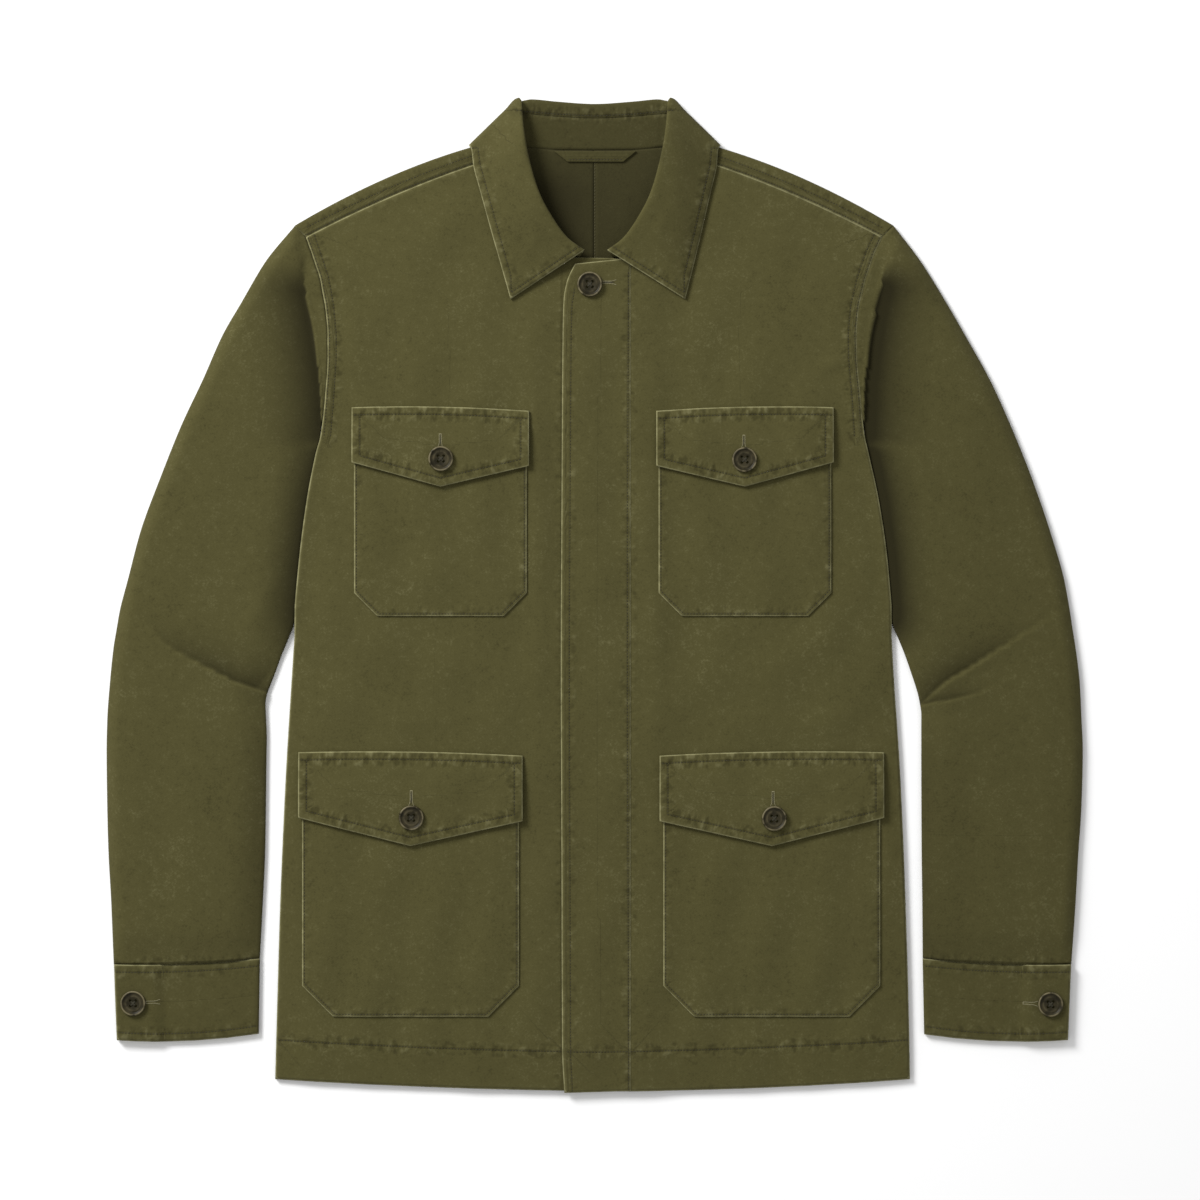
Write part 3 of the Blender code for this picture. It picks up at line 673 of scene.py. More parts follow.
ROLL = 0.3                           # the seam's share of the way from the fold to the neck seam
FOLD_RADIUS = 1.0
FOLD_TURNS = (90, 30, -30, -90)

# Heights of the middle of the collar's layers: behind the neck, and on the fronts.
STAND_LOW = NECK_RISE + WALL / 2
STAND_HIGH = 5.5
LEAF_LOW = COLLAR_WALL / 2 + 0.03
LEAF_HIGH = 7.5
LEAF_CLEARANCE = 0.2


def turned(plan, low, high, turn, side):
    """A plan point of a layer that turns up from its low height to its high one."""
    angle = math.radians(turn)
    out = (high - low) / 2 * math.cos(angle)
    height = mix(low, high, (1 + math.sin(angle)) / 2)
    return (plan.x + side * AWAY.x * out, plan.y + AWAY.y * out, height)


def plan_points(section, side):
    neck = Vector((side * section.neck_x, section.neck_y))
    fold = Vector((side * section.fold_x, section.fold_y))
    edge = Vector((side * section.edge_x, section.edge_y))
    if side == LEFT:
        neck.x += section.lean_fold
        fold.x += section.lean_fold
        edge.x += section.lean_edge
    return neck, fold, edge


SEAM_SLIT = 0.04                     # half the open space between two sewn edges
SHOULDER_TURNS = (90, 45, 0, -45, -90)   # from the front layer to the back layer
NECK_GAP = 1.1                       # where the neck seam turns over the shoulder, under the leaf


def neck_seam(section, side):
    """The body's edge along the neck seam, a gap outside the collar's stand."""
    neck, fold, _ = plan_points(section, side)
    behind = section.turn == -90 and section.neck_x < NECK_RIM_X
    gap = GAP if behind else NECK_GAP
    return neck + (neck - fold).normalized() * gap


def shoulder_row(turn, side):
    """A row of the back along its fold over the shoulder."""
    inset = FRONT_MID / 2 + WALL / 2 - BACK_MID / 2
    tip = Vector(SHOULDER_TIP[side]) - Vector((side * AWAY.x, AWAY.y)) * inset
    rim = neck_seam(COLLAR[3], side)
    row = []
    for share in ACROSS:
        plan = tip.lerp(rim, share)
        plan.y += 4 * SHOULDER_BOW * share * (1 - share)
        under = rise(plan.x, plan.y)
        row.append(turned(plan, BACK_MID + under, FRONT_MID + under, turn, side))
    return row


def back_rows(side):
    seam_tip = edge_point(BODY[0], side)
    seam_neck = neck_seam(COLLAR[SHOULDER_SECTION], side)
    rows = [body_row(seam_tip, seam_neck, FRONT_MID, SEAM_BOW)]
    rows += [shoulder_row(turn, side) for turn in SHOULDER_TURNS]
    neck = [neck_seam(section, side) for section in COLLAR[:4]]
    centre = side * SEAM_SLIT
    neck[0].x = centre
    inner = [neck[3].lerp(neck[2], 0.5), neck[2], neck[2].lerp(neck[1], 0.5), neck[1], neck[0]]
    for edge, point in zip(BODY, inner):
        rows.append(body_row(edge_point(edge, side), point, BACK_MID))
    for edge in BODY[len(inner):-1]:
        rows.append(body_row(edge_point(edge, side), Vector((centre, edge.back_y)), BACK_MID))
    hem = Vector((centre, BODY[-1].back_y))
    rows.append(body_row(edge_point(BODY[-1], side), hem, BACK_MID, HEM_BOW))
    return rows


def front_rows(side):
    neck = [neck_seam(section, side) for section in COLLAR[SHOULDER_SECTION:]]
    if side == RIGHT:
        centre = CENTRE_FRONT
        neck.append(Vector((centre, neck[-1].y - 1.0)))
    else:
        centre = CENTRE_FRONT + GAP
        share = (neck[-2].x - centre) / (neck[-2].x - neck[-1].x)
        neck[-1] = neck[-2].lerp(neck[-1], share)
    seam_gap = Vector((0.0, -SEAM_SLIT))
    rows = [body_row(edge_point(BODY[0], side) + seam_gap, neck[0] + seam_gap, FRONT_MID, SEAM_BOW)]
    for edge, point in zip(BODY[1:], neck[1:]):
        rows.append(body_row(edge_point(edge, side), point, FRONT_MID))
    for edge in BODY[len(neck):-1]:
        rows.append(body_row(edge_point(edge, side), Vector((centre, edge.front_y)), FRONT_MID))
    hem = Vector((centre, BODY[-1].front_y))
    rows.append(body_row(edge_point(BODY[-1], side), hem, FRONT_MID, HEM_BOW))
    return rows


def shift(line, distance):
    """The line moved sideways, to its left for a positive distance."""
    moved = []
    for i, (x, y) in enumerate(line):
        before = line[max(i - 1, 0)]
        after = line[min(i + 1, len(line) - 1)]
        run = Vector((after[0] - before[0], after[1] - before[1])).normalized()
        moved.append((x - run.y * distance, y + run.x * distance))
    return moved


def bow_line(start, end, bow, count=12):
    return [(mix(start[0], end[0], i / count),
             mix(start[1], end[1], i / count) + 4 * bow * (i / count) * (1 - i / count))
            for i in range(count + 1)]


def shoulder_seams(side):
    """Two rows of stitching along the forward shoulder seam, on the back."""
    tip = edge_point(BODY[0], side)
    neck = neck_seam(COLLAR[SHOULDER_SECTION], side)
    line = bow_line((tip.x, tip.y), (neck.x, neck.y), SEAM_BOW)
    return [Seam([(x, y + 1.6) for x, y in line], 3.5, 0.18, 7.0, 0.16),
            Seam([(x, y + 7.4) for x, y in line], 5.0, 0.23, 8.5, 0.18)]


CENTRE_BACK = Seam([(0.0, 338.0), (0.0, 250.0)], 4.0, 0.05, 9.5, 0.0)
CENTRE_LAP = 0.6                     # how far the left half laps over the right
BACK_HEM = Seam(bow_line((-246.0, -357.0), (246.0, -357.0), -8.5), 7.0, 0.12, 10.0, 0.1)
# Flat size of each half as cut, and its area, since the cut is shaped.
BACK_CUT = {RIGHT: (250.0, 823.0, 0.168), LEFT: (247.0, 823.0, 0.166)}


def back_shade(x, y, z):
    """1 on the lower layer, whose inside shows in the neck; its tones are darkened as painted shade."""
    up = np.clip((y - RISE_START) / (RISE_END - RISE_START), 0, 1)
    inwards = np.clip((RISE_OUTER - np.abs(x)) / (RISE_OUTER - RISE_INNER), 0, 1)
    raised = NECK_RISE * up * inwards
    return 1.0 - smooth_ramp(z - raised, BACK_MID + 0.2, FRONT_MID - 0.3)


def neck_painted_shadow(x, y, z):
    """Painted shadow of the collar: darkest under its right side and towards the front of the neck."""
    beside_fold = smooth_ramp(x, 24.0, -46.0) * 0.72 + 0.12
    return beside_fold * smooth_ramp(y, 354.0, 306.0) * back_shade(x, y, z)


def make_back(side):
    name = "back_" + SIDE_NAMES[side]
    shoulder = shoulder_seams(side)
    piece = cloth(name, back_rows(side), WALL, INSIDE_TWILL, spacing=4.0, curved=(False, True),
                  seams=shoulder + [CENTRE_BACK, BACK_HEM], shade=back_shade, painted_shade_and_tone=neck_painted_shadow)
    declare(piece, name, BACK_CUT[side])
    sew(piece, shoulder)
    if side == LEFT:
        for vertex in piece.data.vertices:
            lap = ramp(vertex.co.x / MM, 3.0, 0.1)
            vertex.co.x -= CENTRE_LAP * lap * MM
            vertex.co.z += CENTRE_LAP / 2 * lap * MM
        on_lap = [(x + 0.1, y) for x, y in CENTRE_BACK.line]
        sew(piece, [CENTRE_BACK._replace(line=on_lap)], FAINT_THREAD)


make_back(RIGHT)
make_back(LEFT)


# ------------------------------------------------------------------------------------------------
# The two front panels, cut from one ply of twill each. They meet under the placket, are set to the
# sleeves at the armholes, and end in a turned and stitched hem.

BODY_LIFT = 2.4                      # air under the front, away from its sides
SIDE_ROUND = 52.0                    # distance from the side over which it comes up
OPEN_SIDE, SEWN_SIDE = 118.0, 150.0  # heights between which the armhole seam opens to a free side
SHOULDER_LINES = [[(-76.0, 341.0), (-225.0, 281.0)], [(76.0, 341.0), (224.0, 281.0)]]
FRONT_FOLDS = [
    Crease([(-196, 262), (-190, 220), (-184, 170)], 0.9, 8.0, 1.0),
    Crease([(194, 258), (187, 214), (186, 170)], 0.9, 8.0, 1.0),
    Crease([(-150, 286), (-142, 240), (-146, 170)], 0.7, 11.0, 1.0),
    Crease([(148, 284), (140, 236), (150, 168)], 0.7, 11.0, 1.0),
    Crease([(-206, 196), (-190, 178), (-172, 168)], 0.8, 6.0, 1.3),
    Crease([(204, 198), (190, 182), (172, 172)], 0.8, 6.0, 1.3),
    Crease([(-226, 20), (-180, -30), (-120, -56), (-50, -66)], 0.9, 15.0, 1.0),
    Crease([(224, 24), (182, -34), (130, -60), (60, -72)], 0.9, 15.0, 1.0),
    Crease([(-232, -50), (-190, -84), (-150, -98), (-90, -94)], 0.8, 11.0, 1.0),
    Crease([(230, -60), (200, -92), (160, -104), (100, -98)], 0.8, 11.0, 1.0),
    Crease([(-48, 200), (-42, 60), (-45, -60), (-40, -200)], 0.9, 9.0, 1.0),
    Crease([(50, 190), (44, 70), (48, -60), (43, -190)], 0.9, 9.0, 1.0),
    Crease([(-237, -130), (-235, -220), (-239, -310)], 0.8, 7.0, 1.0),
    Crease([(233, -130), (231, -220), (235, -310)], 0.8, 7.0, 1.0),
]


def side_reach(y):
    """Half the body's width at a height, the mean of its sides."""
    heights = [edge.y for edge in reversed(BODY)]
    reaches = [(edge.left - edge.right) / 2 for edge in reversed(BODY)]
    return np.interp(y, heights, reaches)


def body_lift(x, y):
    """Height of the fronts over their pressed place, which all that lies on them follows."""
    inside = side_reach(y) - np.abs(x)
    from_side = 1.0 - (1.0 - np.clip(inside / SIDE_ROUND, 0.0, 1.0)) ** 2
    joined = smooth_ramp(y, OPEN_SIDE, SEWN_SIDE)
    level = mix(from_side, 1.0, joined)
    for line in SHOULDER_LINES:
        level = level * mix(0.25, 1.0, smooth_ramp(nearest_on(line, x, y)[0], 2.0, 42.0))
    level = level * mix(0.35, 1.0, smooth_ramp(y, -386.0, -350.0))
    waves = 0.6 + 0.4 * np.sin(y / 61.0)
    soft = 0.42 * np.sin(2 * np.pi * (x + 11.0 * np.sin(y / 83.0)) / 43.0 + 1.0) * waves
    soft = soft + 0.30 * np.sin(2 * np.pi * (0.66 * x + 0.75 * y) / 71.0 + 0.4)
    soft = soft + 0.22 * np.sin(2 * np.pi * (0.8 * x - 0.6 * y) / 53.0 + 2.0)
    folds = np.zeros(np.shape(x))
    for crease in FRONT_FOLDS:
        folds += crease_relief(crease, x, y)
    return level * (BODY_LIFT + 1.25 * soft + folds)


def armhole_line(side):
    """The armhole from the shoulder to the underarm."""
    return [(edge_point(edge, side).x, edge.y) for edge in BODY[:UNDERARM + 1]]


def front_seams(side):
    armhole = armhole_line(side)
    edge = [(edge_point(item, side).x, item.y) for item in BODY[UNDERARM:]]
    tip = edge_point(BODY[0], side)
    neck = neck_seam(COLLAR[SHOULDER_SECTION], side)
    shoulder = bow_line((tip.x, tip.y), (neck.x, neck.y), SEAM_BOW)
    beside_placket = PLACKET_EDGE if side == LEFT else -25.5
    placket = [(beside_placket, 250.0), (beside_placket, -386.0)]
    return [Seam(shift(armhole, -side * 6.7), 5.0, 0.32, 9.0, 0.2),
            Seam(shift(armhole, -side * 1.6), 3.5, 0.20, 7.5, 0.10),
            Seam(edge, 5.0, 0.10, 13.0, 0.0),
            Seam(shoulder, 6.0, 0.16, 9.0, 0.0),
            Seam(placket, 6.0, 0.20, 9.5, 0.0)]


def hem_line(x1, x2):
    """The hem's row of stitching, deepest at the centre."""
    places = [mix(x1, x2, i / 12) for i in range(13)]
    return [(x, HEM_STITCHING + HEM_RISE * abs(x / HEM_HALF) ** 1.6) for x in places]


FRONT_CUT = {RIGHT: (269.0, 800.0, 0.170), LEFT: (227.0, 764.0, 0.143)}
PLACKET_EDGE = 28.0                  # the placket's sewn edge, beside which the left front rises
PLACKET_FLUSH = 1.15
EDGE_OVER = 1.6                      # how far the side edge lies over the sleeve, and above it
EDGE_BEND = 13.0                     # width of the strip that bends to do so
HEM_STITCHING = -355.5               # the hem's row at the centre, and its rise towards the sides
HEM_RISE = 9.0
HEM_HALF = 246.0


def make_front(side):
    rows = front_rows(side)
    name = "front_" + SIDE_NAMES[side]
    seams = front_seams(side)
    hem = Seam(hem_line(side * 247.0, 20.0), 6.5, 0.34, 11.0, 0.2)
    piece = cloth(name, rows, WALL, OUTER_TWILL, spacing=2.8, curved=(True, True),
                  seams=seams + [hem], lift=flush_lift if side == LEFT else body_lift)
    for vertex in piece.data.vertices:
        x, y = vertex.co.x / MM, vertex.co.y / MM
        edge_x = side_edge(y, side)
        over = ramp(abs(x), abs(edge_x) - EDGE_BEND, abs(edge_x)) ** 2
        over *= ramp(y, -32, -8) * ramp(y, SEWN_SIDE, OPEN_SIDE)
        vertex.co.x += side * EDGE_OVER * over * MM
        vertex.co.z += EDGE_OVER * over * MM
    declare(piece, name, FRONT_CUT[side])
    sew(piece, [seams[0], seams[1], hem])


def flush_lift(x, y):
    """The left front comes up beside the placket's sewn edge, level with the placket."""
    beside = smooth_ramp(x, PLACKET_EDGE - 2.7, PLACKET_EDGE - 0.2) * (1.0 - smooth_ramp(x, 34.0, 74.0))
    return body_lift(x, y) + PLACKET_FLUSH * beside * smooth_ramp(y, 268.0, 250.0)


def side_edge(y, side):
    """X of the body's side edge at a height."""
    for above, below in zip(BODY, BODY[1:]):
        if above.y >= y >= below.y:
            share = (above.y - y) / (above.y - below.y)
            return mix(edge_point(above, side).x, edge_point(below, side).x, share)
    return edge_point(BODY[-1], side).x


make_front(RIGHT)
make_front(LEFT)


# ------------------------------------------------------------------------------------------------
# The placket: a folded band of twill stitched to the left front, which covers the hidden buttons.
# It is fixed by a row down its inner side, and edge stitched down its free side.

Band = namedtuple("Band", "left_y left_x right_y")
PLACKET = [
    Band(258.0, -15.2, 262.6),
    Band(251.4, -18.8, 257.0),
    Band(243.0, -22.0, 249.0),
    Band(230.0, -24.2, 234.0),
    Band(207.0, -24.9, 208.0),
    Band(92.0, -25.7, 92.0),
    Band(-49.0, -26.4, -49.0),
    Band(-200.0, -25.9, -200.0),
    Band(-355.0, -25.3, -355.0),
    Band(-387.5, -23.6, -386.0),
]


PLACKET_CUT = (55.0, 650.0, 0.0347)
PLACKET_WALL = 1.1                   # pressed hard along its sewn edge
PLACKET_FREE = 0.5                   # its free edge stands up by this


def make_placket():
    rows = []
    for band in PLACKET:
        left = Vector((band.left_x, band.left_y, LAID_ON_FRONT + PLACKET_WALL / 2 + PLACKET_FREE))
        right = Vector((PLACKET_EDGE, band.right_y, LAID_ON_FRONT + PLACKET_WALL / 2))
        rows.append([left.lerp(right, share / 4) for share in range(5)])
    free_row = Seam([(band.left_x + 6.5, band.left_y - 4.0) for band in PLACKET[2:]], 5.0, 0.22, 10.0, 0.14)
    inner_row = Seam([(26.2, 252.0), (25.4, 60.0), (25.4, -100.0), (26.4, -386.0)], 4.5, 0.24, 9.0, 0.16)
    hem = Seam(hem_line(-22.0, 26.0), 5.0, 0.26, 9.0, 0.18)
    edge = Seam([(band.left_x, band.left_y) for band in PLACKET], 3.5, 0.16, 12.0, 0.0)
    piece = cloth("placket", rows, PLACKET_WALL, OUTER_TWILL, spacing=2.4, curved=(True, False),
                  seams=[free_row, inner_row, hem, edge], lift=body_lift)
    declare(piece, "placket", PLACKET_CUT)
    sew(piece, [free_row, inner_row, hem])


make_placket()


# ------------------------------------------------------------------------------------------------
# The collar: a stand sewn into the neck seam, and a leaf of two plies which rolls over it. The
# leaf's free edges are stitched round; the stand's upper seam is stitched through.

ROLL_LIFT = 10.6                     # how far the roll stands up on the fronts


def roll_lift(section):
    """Height that the fold gains on a front, none where it turns over the shoulder."""
    if section.turn < 90:
        return 0.0
    from_back = ramp(section.fold_y, 385.0, 342.0)
    from_front = ramp(section.fold_y, 262.0, 304.0)
    return ROLL_LIFT * (1 - (1 - from_back) ** 2) * (0.22 + 0.78 * from_front)


def stand_section(section, side):
    neck, fold, _ = plan_points(section, side)
    seam = fold.lerp(neck, ROLL) + (neck - fold).normalized() * ROLL_GAP
    neck_high = FRONT_MID + rise(neck.x, neck.y)
    points = []
    for share in (0.0, 0.5, 1.0):
        plan = neck.lerp(seam, share)
        high = mix(neck_high, STAND_HIGH + 0.75 * roll_lift(section), share)
        points.append(turned(plan, STAND_LOW, high, section.turn, side))
    return points


def leaf_section(section, side):
    neck, fold, edge = plan_points(section, side)
    under = (neck - fold).normalized()
    over = (edge - fold).normalized()
    edge_high = LAID_ON_FRONT + COLLAR_WALL / 2 + LEAF_CLEARANCE + rise(edge.x, edge.y)
    edge_high += float(body_lift(edge.x, edge.y)) * ramp(section.turn, 0, 90)
    lifted = roll_lift(section)
    points = [turned(fold.lerp(neck, ROLL), STAND_LOW, STAND_HIGH + 0.75 * lifted, section.turn, side)]
    for turn in FOLD_TURNS:
        plan = moved_in(fold, under if turn > 0 else over, turn, FOLD_RADIUS)
        share = (1 + math.sin(math.radians(turn))) / 2
        low = mix(LEAF_LOW, STAND_LOW, share)
        high = mix(LEAF_HIGH, STAND_HIGH, share) + lifted
        points.append(turned(plan, low, high, section.turn, side))
    for share in (0.25, 0.5, 0.75, 1.0):
        high = mix(LEAF_HIGH + lifted, edge_high, share ** 1.35)
        points.append(turned(fold.lerp(edge, share), LEAF_LOW, high, section.turn, side))
    return points


def all_round(section_points):
    """Sections from the right centre front, round the back, to the left centre front."""
    right = [section_points(section, RIGHT) for section in reversed(COLLAR)]
    left = [section_points(section, LEFT) for section in COLLAR[1:]]
    return right + left


STAND_CUT = (416.0, 28.0, 0.0075)
LEAF_CUT = (465.0, 74.0, 0.0262)


def leaf_outline(side):
    """The leaf's free edge on the front, from the shoulder round the point to the centre front."""
    points = [plan_points(section, side)[2] for section in COLLAR[5:]]
    fold = plan_points(COLLAR[-1], side)[1]
    return [(p.x, p.y) for p in points], (fold.x, fold.y)


def make_collar():
    line = []
    for section in [*COLLAR[3:0:-1], *COLLAR[:4]]:
        side = LEFT if len(line) > 2 else RIGHT
        neck, fold, _ = plan_points(section, side)
        place = fold.lerp(neck, ROLL - 0.05)
        line.append((place.x, place.y))
    stand_seam = [Seam(line, 6.5, 0.40, 8.0, 0.14)]
    stand = cloth("collar_stand", all_round(stand_section), WALL, OUTER_TWILL, spacing=3.0,
                  curved=(True, True), seams=stand_seam, shade=neck_shade, painted_shade_and_tone=band_painted_shade, worn=False)
    declare(stand, "collar_stand", STAND_CUT)
    free_seams = []
    for side in (RIGHT, LEFT):
        edge, fold = leaf_outline(side)
        row = shift(edge, -side * 5.2)[1:-1]
        tip = Vector(edge[-1])
        point_in = tip + (Vector(fold) - tip).normalized() * 6.5 + Vector((side * 5.0, 1.5))
        row.append((point_in.x, point_in.y))
        front_start = Vector(fold) + Vector((side * 3.2, 3.2))
        free_seams.append(Seam(row, 5.0, 0.30, 9.5, 0.2))
        free_seams.append(Seam([(point_in.x, point_in.y), (front_start.x, front_start.y)],
                               5.0, 0.26, 9.0, 0.2))
    leaf = cloth("collar_leaf", all_round(leaf_section), COLLAR_WALL, OUTER_TWILL, spacing=2.6,
                 curved=(True, True), seams=free_seams + stand_seam, creases=LEAF_CREASES,
                 shade=leaf_shade, painted_shade_and_tone=band_painted_shade)
    declare(leaf, "collar_leaf", LEAF_CUT)
    sew(leaf, free_seams + stand_seam)


NECK_BAND = (330.0, 344.0)           # heights over which the strip inside the neck begins


def neck_shade(x, y, z):
    """Painted shade on the strip inside the neck, which is a little darker than the outside."""
    return 0.35 * smooth_ramp(y, *NECK_BAND)


def band_painted_shade(x, y, z):
    """Painted shade low down on the strip that stands up round the neck, and on the left leaf."""
    inner = smooth_ramp(y, *NECK_BAND) * (1.0 - smooth_ramp(np.abs(x), 50.0, 56.0))
    band = inner * (0.14 + 0.16 * smooth_ramp(y, 384.0, 366.0)) * smooth_ramp(z, 1.6, 2.4)
    return band + 0.20 * smooth_ramp(x, 56.0, 72.0)


# Painted shade on the leaf where it lies inside the neck, as on the strip.
def leaf_shade(x, y, z):
    return neck_shade(x, y, z) * (1.0 - smooth_ramp(np.abs(x), 50.0, 58.0)) * smooth_ramp(z, 1.6, 2.4)


LEAF_CREASES = [
    Crease([(-88, 330), (-76, 300), (-62, 270)], 0.9, 10.0, 1.0),
    Crease([(88, 330), (78, 300), (66, 270)], 0.9, 10.0, 1.0),
    Crease([(-52, 262), (-46, 280), (-56, 300)], 0.6, 6.0, 1.2),
    Crease([(54, 262), (50, 284), (60, 300)], 0.6, 6.0, 1.2),
]

make_collar()


# ------------------------------------------------------------------------------------------------
# The hanger loop: a narrow folded strip whose mitred ends are caught in the neck seam.

LOOP_TOP = 345.7
LOOP_BOTTOM = 337.6
LOOP_TOP_HALF = 31.9
LOOP_BOTTOM_HALF = 21.7
LOOP_CENTRE = 0.5


# Painted shade: the loop inside the neck is darkened towards the inside tones.
def loop_shade(x, y, z):
    return np.full(x.shape, 0.55)


def make_hanger_loop():
    height = NECK_RISE + WALL + GAP + LOOP_WALL / 2
    rows = []
    for y, half in ((LOOP_TOP, LOOP_TOP_HALF), (LOOP_BOTTOM, LOOP_BOTTOM_HALF)):
        rows.append([(LOOP_CENTRE + half * share, y, height) for share in (-1.0, 0.0, 1.0)])
    low_row = Seam([(-20.5, 339.2), (21.5, 339.2)], 2.4, 0.16, 6.5, 0.14)
    high_row = Seam([(-28.5, 343.9), (29.5, 343.9)], 2.0, 0.14, 6.0, 0.10)
    piece = cloth("hanger_loop", rows, LOOP_WALL, OUTER_TWILL, spacing=1.3, seams=[low_row, high_row],
                  shade=loop_shade)
    declare(piece, "hanger_loop", (64.0, 13.0, 0.00043))
    sew(piece, [low_row])


make_hanger_loop()


# ------------------------------------------------------------------------------------------------
# The sleeves: one tube of twill each, lying flat, which is set into the armhole and ends at a cuff.
# The cloth folds across the bend of the elbow, and rolls over itself at the underarm.

# One row for each ring of the sleeve: the outer edge at y, the inner edge at inner_y. From the
# underarm down to y = -20 the inner edge lies along the side edge of the body.
Ring = namedtuple("Ring", "y right left inner_y inner_right inner_left")
SLEEVE = [
    Ring(287.8, -233.9, 233.1, 124, -212.5, 209.0),
    Ring(261, -256.0, 253.5, 110, -216.7, 212.7),
    Ring(229, -275.0, 273.5, 97, -219.2, 215.6),
    Ring(203, -290.0, 288.5, 70, -224.1, 221.1),
    Ring(168, -305.5, 308.0, 35, -228.8, 226.4),
    Ring(133, -322.0, 324.0, 0, -232.0, 229.6),
    Ring(92, -338.5, 340.5, -20, -233.8, 231.2),
    Ring(50, -354.0, 355.0, -35, -239.0, 237.0),
    Ring(12, -364.0, 366.0, -47, -244.0, 241.8),
    Ring(-11, -370.0, 370.2, -62, -249.5, 247.0),
    Ring(-28, -373.0, 372.8, -71, -253.0, 250.0),
    Ring(-40, -375.0, 374.7, -78, -255.5, 252.0),
    Ring(-54, -376.6, 376.6, -85, -256.5, 253.4),
    Ring(-69, -378.0, 378.2, -93, -256.2, 254.4),
    Ring(-97, -380.0, 379.5, -111, -255.5, 254.4),
    Ring(-120, -380.5, 380.5, -130, -255.8, 254.4),
    Ring(-165, -380.0, 379.4, -165, -256.2, 254.5),
    Ring(-201, -379.0, 377.0, -201, -256.8, 254.7),
    Ring(-237, -377.0, 375.0, -240, -258.6, 255.2),
    Ring(-287.4, -375.0, 371.6, -282.9, -260.9, 255.5),
]
SLEEVE_END_BOW = -2.0
ARMHOLE_GAP = 0.08
HEAD_FADE = 4                        # rings over which the armhole's curve fades from the sleeve
UPPER_LAYER = 1.2                    # cloth of the tube above this height is its upper layer
SLEEVE_LIFT = 5.2                    # air under the upper layer, away from its edges
OUTER_ROLL = 11.0                    # distances over which the layer rises from the outer edge,
INNER_ROLL = 27.0                    # and from the inner edge
VALLEY = 24.0                        # reach of the hollow beyond the roll at the underarm

SEWN_TOP = 268.0                     # the sleeve lies level with the body from here, fully so from
SEWN_FULL = 246.0                    # here, as far out as the roll at the underarm
SLEEVE_END = (-292.0, -258.0)        # heights over which the air goes at the cuff

# How much darker the whole of each sleeve is, and how strong its painted shade is at the underarm,
# beside the body, in the tucks and along the inner edge.
SLEEVE_DARKENING = {RIGHT: 0.05, LEFT: 0.09}
HOLLOW_SHADE = {RIGHT: 0.95, LEFT: 1.1875}
TUCK_SHADE = 0.66
INNER_EDGE_SHADE = 0.30                   # along the inner edge below the elbow
DARKEST_SHADE = 0.94
# Distances over which those fade: beyond the roll, beside the body, and from the inner edge.
VALLEY_FADE = 27.0
SIDE_FADE = 19.0
INNER_FADE = 16.0

# A tuck: the cloth on the left of the line dips under a lip on its right. It is deepest at the
# inner edge of the elbow and fades outwards.
Tuck = namedtuple("Tuck", "line depth reach lip")
ELBOW_TUCKS = {
    RIGHT: [Tuck([(-366, -8), (-343.6, -26.7), (-332, -40), (-314, -50), (-293, -61), (-278, -69),
                  (-251, -78)], 3.6, 16.0, 0.7)],
    LEFT: [Tuck([(251, -88), (274.6, -67), (295, -55), (315, -42), (334, -30), (364, -12)],
                3.6, 16.0, 0.7),
           Tuck([(258, -85), (280, -81), (300, -75.7), (316, -68)], 1.4, 7.0, 0.5)],
}
UNDERARM_ROLLS = {
    RIGHT: [(-228, 256), (-224, 230), (-219.5, 205), (-215, 176), (-213, 150), (-212.6, 120)],
    LEFT: [(228, 258), (222.5, 240), (217, 215), (213, 189), (210, 163), (209.2, 120)],
}
SLEEVE_FOLDS = {
    RIGHT: [
        Crease([(-266, 226), (-276, 160), (-292, 100), (-312, 40)], 0.8, 17.0, 1.0),
        Crease([(-243, 20), (-260, -10), (-276, -34)], 1.0, 9.0, 1.0),
        Crease([(-264, -112), (-272, -170), (-274, -240)], 0.6, 10.0, 1.0),
        Crease([(-308, -100), (-318, -160), (-318, -220), (-312, -280)], 0.7, 14.0, 1.0),
        Crease([(-352, -40), (-358, -120), (-356, -200), (-348, -270)], 0.5, 10.0, 1.0),
    ],
    LEFT: [
        Crease([(270, 226), (282, 160), (298, 96), (318, 34)], 0.8, 17.0, 1.0),
        Crease([(246, 14), (262, -16), (280, -40)], 1.0, 9.0, 1.0),
        Crease([(262, -122), (268, -180), (266, -246)], 0.6, 10.0, 1.0),
        Crease([(304, -112), (314, -170), (312, -230), (306, -280)], 0.7, 14.0, 1.0),
        Crease([(350, -50), (354, -130), (350, -210), (344, -270)], 0.5, 10.0, 1.0),
    ],
}


def folded_edge(edge, inwards):
    """Points of a ring round its folded edge, from the upper layer to the lower one."""
    radius = (FRONT_MID - BACK_MID) / 2
    points = []
    for turn in FOLD_TURNS:
        plan = moved_in(edge + inwards * WALL / 2, inwards, turn, radius)
        points.append((plan.x, plan.y, BACK_MID + radius * (1 + math.sin(math.radians(turn)))))
    return points


def ring_ends(index, side):
    """The plan points of a ring's outer and inner edges."""
    ring = SLEEVE[min(max(index, 0), len(SLEEVE) - 1)]
    if side == LEFT:
        return Vector((ring.left, ring.y)), Vector((ring.inner_left, ring.inner_y))
    return Vector((ring.right, ring.y)), Vector((ring.inner_right, ring.inner_y))


